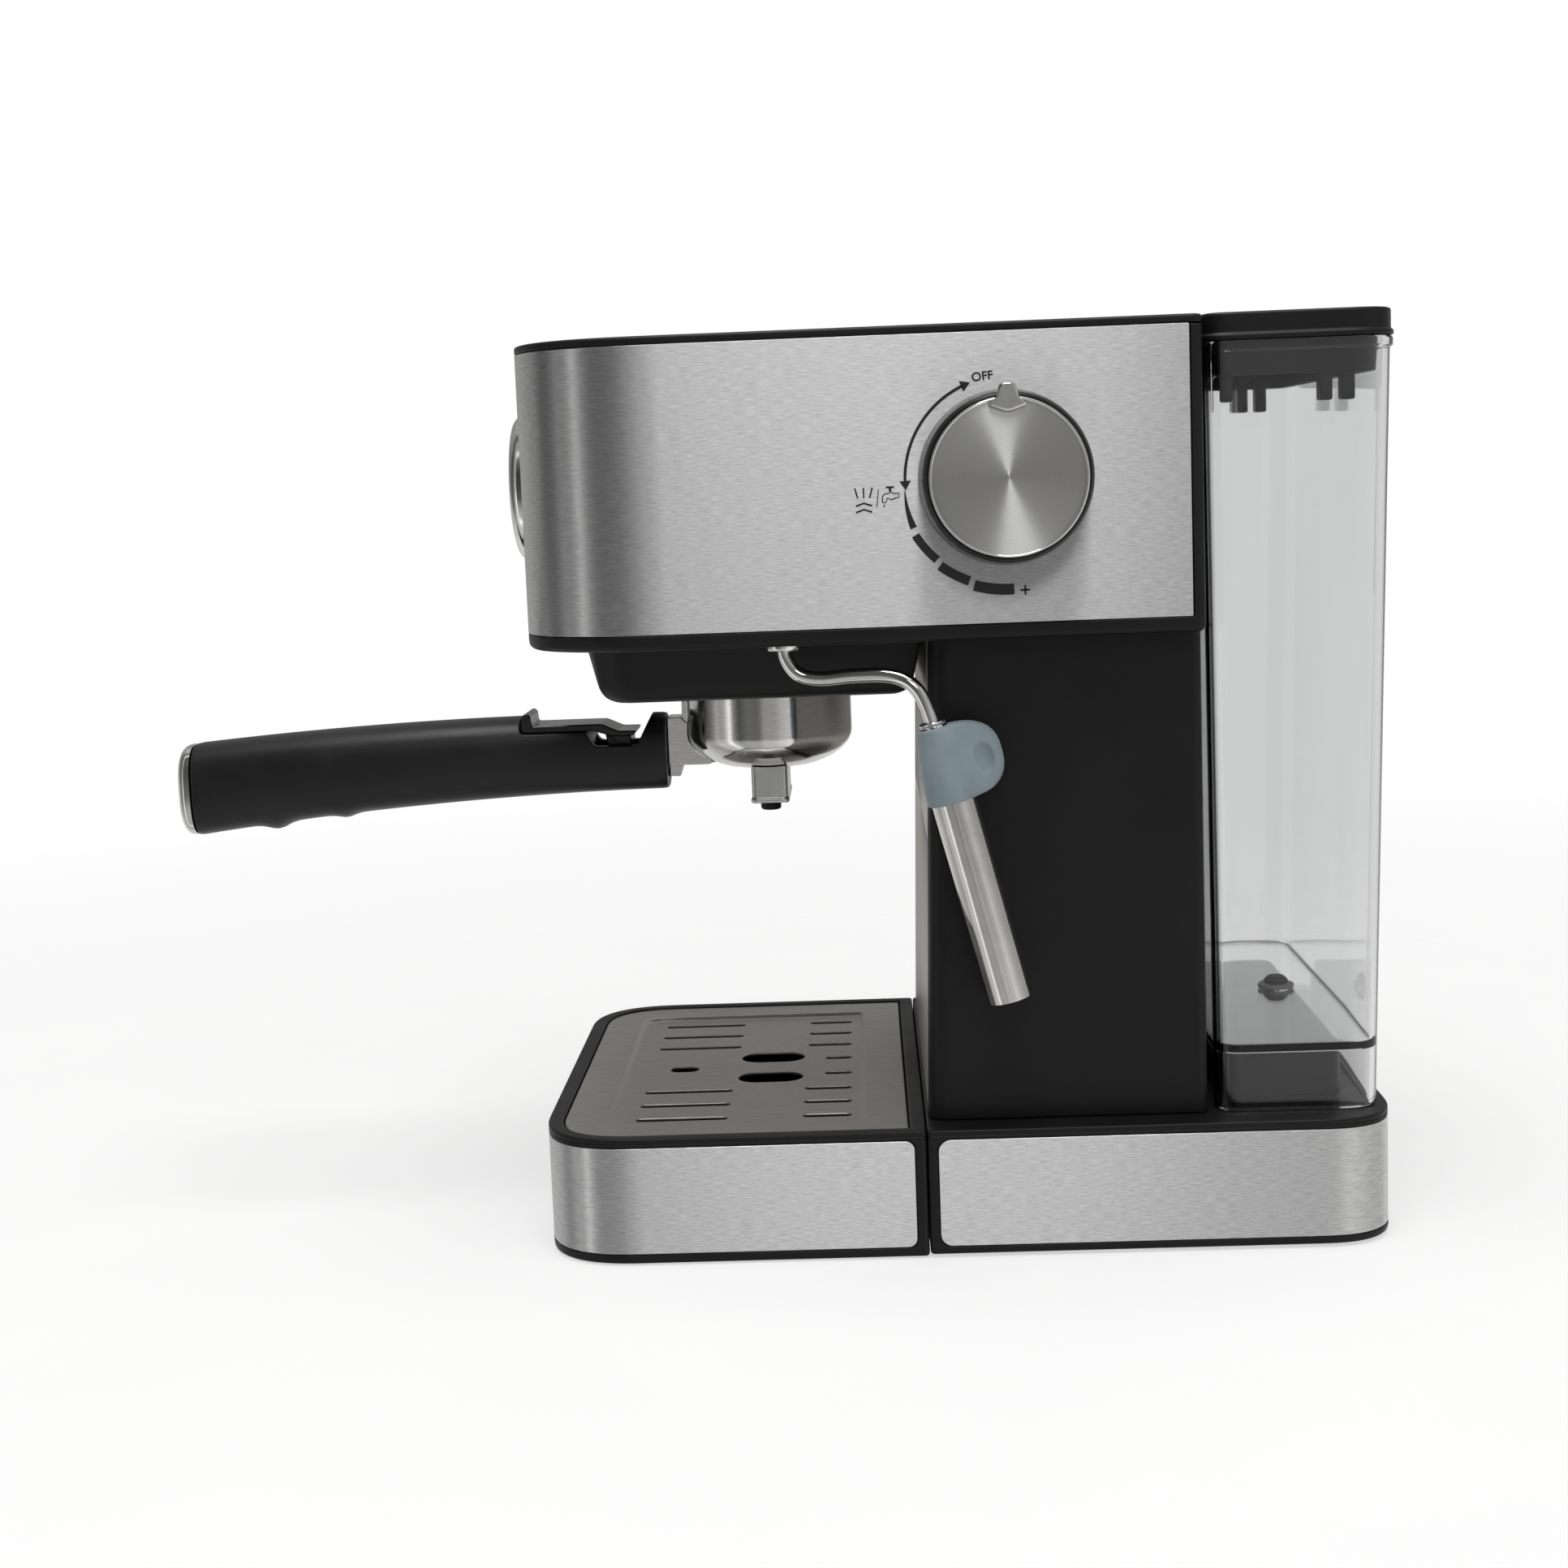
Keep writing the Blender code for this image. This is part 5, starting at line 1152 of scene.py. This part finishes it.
def water_tank():
    """Clear tank with a bead round its rim, its outlet valve, the lid's hinge bar and the dock under it."""
    low = DECK_Z + GAP
    wall = 2.2
    levels = [(12.0, TANK_FLOOR_Z - wall), (wall, TANK_FLOOR_Z - wall), (wall, low), (0.0, low),
              (0.0, TANK_RIM_Z - 3.6), (-RIM_BEAD, TANK_RIM_Z - 3.0), (-RIM_BEAD, TANK_RIM_Z),
              (wall, TANK_RIM_Z), (wall, TANK_FLOOR_Z), (12.0, TANK_FLOOR_Z)]
    loops = [tank_ring(inset, z) for inset, z in soften(levels, 0.9)]
    tank = solid("tank", loft(loops))
    carve(tank, disc(4.6, TANK_FLOOR_Z - 8.0, 16.0, VALVE, Z_UP))
    dress(tank, CLEAR, "water_tank", "clear_plastic", "tank_body")
    outlet_valve()
    bar = [(290.0, 296.9), (290.0, 290.6), (294.4, 290.6), (294.4, 296.9)]
    bracket = solid("hinge_bracket", prism(bar, 42.0, 1.0))
    fuse(bracket, disc(1.6, -48.0, 96.0, LID_HINGE, X_OUT, SMALL_SEGMENTS))
    dress(bracket, BLACK, "water_tank", "black_plastic", "lid_hinge_bracket", bevel=0.3)
    dock_low, dock_high = span("tank_dock")
    outline = outline_of("tank_dock", 5.0, 5.0)
    dock = solid("dock", stack(outline, [(0.0, dock_low.z), (0.0, dock_high.z), (6.0, dock_high.z)], 1.5))
    carve(dock, disc(7.5, 46.0, 20.0, VALVE, Z_UP))
    dress(dock, BLACK, "machine", "black_plastic", "tank_dock", bevel=0.4)


def outlet_valve():
    """Seat in the tank's floor and the plunger that closes it."""
    top = TANK_FLOOR_Z + GAP
    seat = [(1.9, 54.0), (4.2, 54.0), (4.2, top), (6.6, top), (6.6, top + 1.5), (1.9, top + 1.5)]
    seat = turned(seat, VALVE, segments=SMALL_SEGMENTS, soft=0.6)
    place_part("valve_seat", seat, SEAL_GREY, "water_tank", "seal_grey", "tank_valve_seat")
    top = TANK_FLOOR_Z + 2.1
    stem = [(0.0, 50.0), (1.6, 50.0), (1.6, top), (4.4, top), (4.4, top + 1.0), (3.0, top + 2.4),
            (0.0, top + 3.0)]
    stem = turned(stem, VALVE, segments=SMALL_SEGMENTS)
    place_part("valve_plunger", stem, RUBBER, "tank_valve", "rubber", "tank_valve_plunger")


def tank_lid():
    """Lid with a rim that drops into the tank, hinge arms behind it and retaining tabs inside."""
    low = TANK_RIM_Z + GAP
    rim_z = 287.4
    levels = [(9.0, low + 1.6), (7.0, low + 1.6), (7.0, rim_z), (5.8, rim_z), (5.0, low), (0.0, low),
              (0.0, low + 1.6), (0.9, low + 2.2), (0.9, LID_TOP_Z - 0.4), (2.4, LID_TOP_Z), (8.0, LID_TOP_Z)]
    lid = solid("lid", stack(LID, levels, 0.8))
    knuckle = [(290.2, 300.4), (287.4, 300.4), (287.4, 302.4), (294.6, 302.4), (294.6, 291.2),
               (290.2, 291.2)]
    for side in (-1, 1):
        fuse(lid, prism(knuckle, 3.8, 0.6, side * 46.3))
    carve(lid, disc(1.9, -60.0, 120.0, LID_HINGE, X_OUT, SMALL_SEGMENTS))
    for side in (-1, 1):
        for start, end, bottom in ((233.0, 236.4, 279.0), (264.4, 268.4, 278.5), (271.4, 275.6, 278.5)):
            tab = [(start, 292.0), (start, bottom), (end, bottom), (end, 292.0)]
            fuse(lid, prism(tab, 3.2, 0.8, side * 82.0))
    dress(lid, BLACK, "tank_lid", "black_plastic", "tank_lid", bevel=0.25)


# ---------------------------------------------------------------- CAD nodes that stay

KEPT = {
    "base_bottom_plate": BLACK, "group_head": CAST, "group_gasket": RUBBER, "shower_screen": SATIN_CHROME,
    "boiler": CAST, "pump": CAST, "steam_valve": BRASS, "steam_knob_shaft": BRASS,
}
KEPT.update({name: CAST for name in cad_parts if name.startswith("base_screw")})
KEPT.update({name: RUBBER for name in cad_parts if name.startswith("foot_")})


def keep_nodes():
    """Small and inner CAD nodes stay as they are, with a finish of their own and their edges eased."""
    for name, look in KEPT.items():
        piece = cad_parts[name]
        piece.data.materials.clear()
        piece.data.materials.append(look)
        joined = piece.modifiers.new("joined", "WELD")
        joined.merge_threshold = 0.00001
        eased = piece.modifiers.new("eased", "BEVEL")
        eased.width = 0.2 * MM
        eased.segments = 2
        eased.limit_method = "ANGLE"
        eased.angle_limit = math.radians(40)


# ---------------------------------------------------------------- camera, light and floor

CAMERA_AT = Vector((854.97, 113.5, 261.13))
HEADING = 92.008
DOWN = 7.523
LEAN = 2.214
FOCAL_LENGTH = 53.66
LIGHT_AIM = Vector((0.0, 0.02, 0.16))
STUDIO_GAIN = 4.0
SEEN_THROUGH = 0.66  # brightness of the surroundings through clear plastic
FLOOR_RADIUS = 1.9


def add_camera():
    data = bpy.data.cameras.new("camera")
    data.lens = FOCAL_LENGTH
    data.sensor_width = 36.0
    camera = bpy.data.objects.new("camera", data)
    turn = Matrix.Rotation(math.radians(HEADING), 4, "Z") @ Matrix.Rotation(math.radians(90 - DOWN), 4, "X")
    turn = turn @ Matrix.Rotation(math.radians(-LEAN), 4, "Z")
    camera.matrix_world = Matrix.Translation(HOME + CAMERA_AT * MM) @ turn
    bpy.context.scene.collection.objects.link(camera)
    bpy.context.scene.camera = camera


def softbox(name, azimuth, elevation, distance, width, height, power):
    """A soft light that looks at the machine. Azimuth 0 is the knob's side, and 90 is behind the machine."""
    data = bpy.data.lights.new(name, "AREA")
    data.shape = "RECTANGLE"
    data.size = width
    data.size_y = height
    data.energy = power
    light = bpy.data.objects.new(name, data)
    turn, rise = math.radians(azimuth), math.radians(elevation)
    away = Vector((math.cos(rise) * math.cos(turn), math.cos(rise) * math.sin(turn), math.sin(rise)))
    light.location = LIGHT_AIM + away * distance
    light.rotation_euler = away.to_track_quat("Z", "Y").to_euler()
    light.visible_camera = False
    bpy.context.scene.collection.objects.link(light)


# How bright the surroundings are in each direction from the machine: 0 is the knob's side, 90 the rear.
AROUND = ((-180, 0.42), (-140, 0.48), (-112, 0.33), (-101, 0.12), (-88, 0.13), (-82, 0.24), (-75.5, 0.42),
          (-69, 0.30), (-61, 0.46), (-55, 1.15), (-50, 0.26), (-41, 0.06), (-28, 0.14), (-15, 0.12),
          (-10.5, 0.14), (-6, 0.30), (11, 0.32), (17, 0.42), (28, 0.54), (38, 0.74), (60, 0.60), (90, 0.48),
          (110, 0.44), (140, 0.70), (180, 0.42))
# By this much at each height above the horizon.
ABOVE = ((-90, 0.9), (-30, 1.6), (-12, 1.45), (0, 0.9), (20, 0.65), (45, 0.9), (60, 1.1), (90, 1.3))


def levels_ramp(tree, factor, table, low, high):
    """A factor's grey level from a table of (angle, level)."""
    ramp = node(tree, "ShaderNodeFloatCurve", {"Value": factor})
    points = ramp.mapping.curves[0].points
    for angle, level in table[1:-1]:
        points.new((angle - low) / (high - low), level / 2)
    for point, (angle, level) in zip(points, table):
        point.location = ((angle - low) / (high - low), level / 2)
        point.handle_type = "VECTOR"
    ramp.mapping.update()
    return ramp.outputs["Value"]


def surroundings(tree):
    """Strength of the surroundings by direction, as a studio's walls, gaps and lamps make it."""
    towards = node(tree, "ShaderNodeTexCoord").outputs["Generated"]
    parts = node(tree, "ShaderNodeSeparateXYZ", {"Vector": towards}).outputs
    turn = node(tree, "ShaderNodeMath", {0: parts["Y"], 1: parts["X"]}, operation="ARCTAN2").outputs[0]
    rise = node(tree, "ShaderNodeMath", {0: parts["Z"]}, operation="ARCSINE").outputs[0]
    turn = spread(tree, turn, 0.0, 1.0, -math.pi, math.pi)
    rise = spread(tree, rise, 0.0, 1.0, -math.pi / 2, math.pi / 2)
    around = levels_ramp(tree, turn, AROUND, -180, 180)
    above = levels_ramp(tree, rise, ABOVE, -90, 90)
    level = node(tree, "ShaderNodeMath", {0: around, 1: above}, operation="MULTIPLY").outputs[0]
    return node(tree, "ShaderNodeMath", {0: level, 1: STUDIO_GAIN}, operation="MULTIPLY").outputs[0]


def add_light():
    """White surroundings behind the machine, and those of a studio in its reflections, with two softboxes."""
    world = bpy.data.worlds.new("studio")
    world.use_nodes = True
    tree = world.node_tree
    tree.nodes.clear()
    path = node(tree, "ShaderNodeLightPath")
    warm = (1.0, 0.99, 0.975, 1.0)
    mix = node(tree, "ShaderNodeBackground", {"Color": warm, "Strength": surroundings(tree)})
    for ray, strength in (("Is Transmission Ray", SEEN_THROUGH), ("Is Camera Ray", 1.0)):
        plain = node(tree, "ShaderNodeBackground", {"Color": (1.0, 1.0, 1.0, 1.0), "Strength": strength})
        mix = node(tree, "ShaderNodeMixShader", {0: path.outputs[ray], 1: mix.outputs[0],
                                                 2: plain.outputs[0]})
    node(tree, "ShaderNodeOutputWorld", {"Surface": mix.outputs[0]})
    bpy.context.scene.world = world
    softbox("key", 2.0, 33.0, 1.6, 0.5, 0.36, 2.4)
    softbox("overhead", 0.0, 78.0, 1.6, 0.8, 1.1, 22.0)


def add_floor():
    bm = bmesh.new()
    bmesh.ops.create_circle(bm, cap_ends=True, segments=SEGMENTS, radius=FLOOR_RADIUS)
    mesh = bpy.data.meshes.new("floor")
    bm.to_mesh(mesh)
    bm.free()
    mesh.materials.append(pale_floor())
    floor = bpy.data.objects.new("floor", mesh)
    floor.location = (0.0, 0.0, -0.0002)
    bpy.context.scene.collection.objects.link(floor)


# ---------------------------------------------------------------- build

for build in (add_camera, rear_base, drip_tray, drip_plate, column, head, buttons, pressure_gauge, steam_knob,
              knob_marks, group_housing, portafilter_handle, basket_clip, portafilter_bowl, spout, steam_wand,
              water_tank, tank_lid, keep_nodes, add_light, add_floor):
    build()
bpy.context.scene.view_settings.view_transform = "Standard"
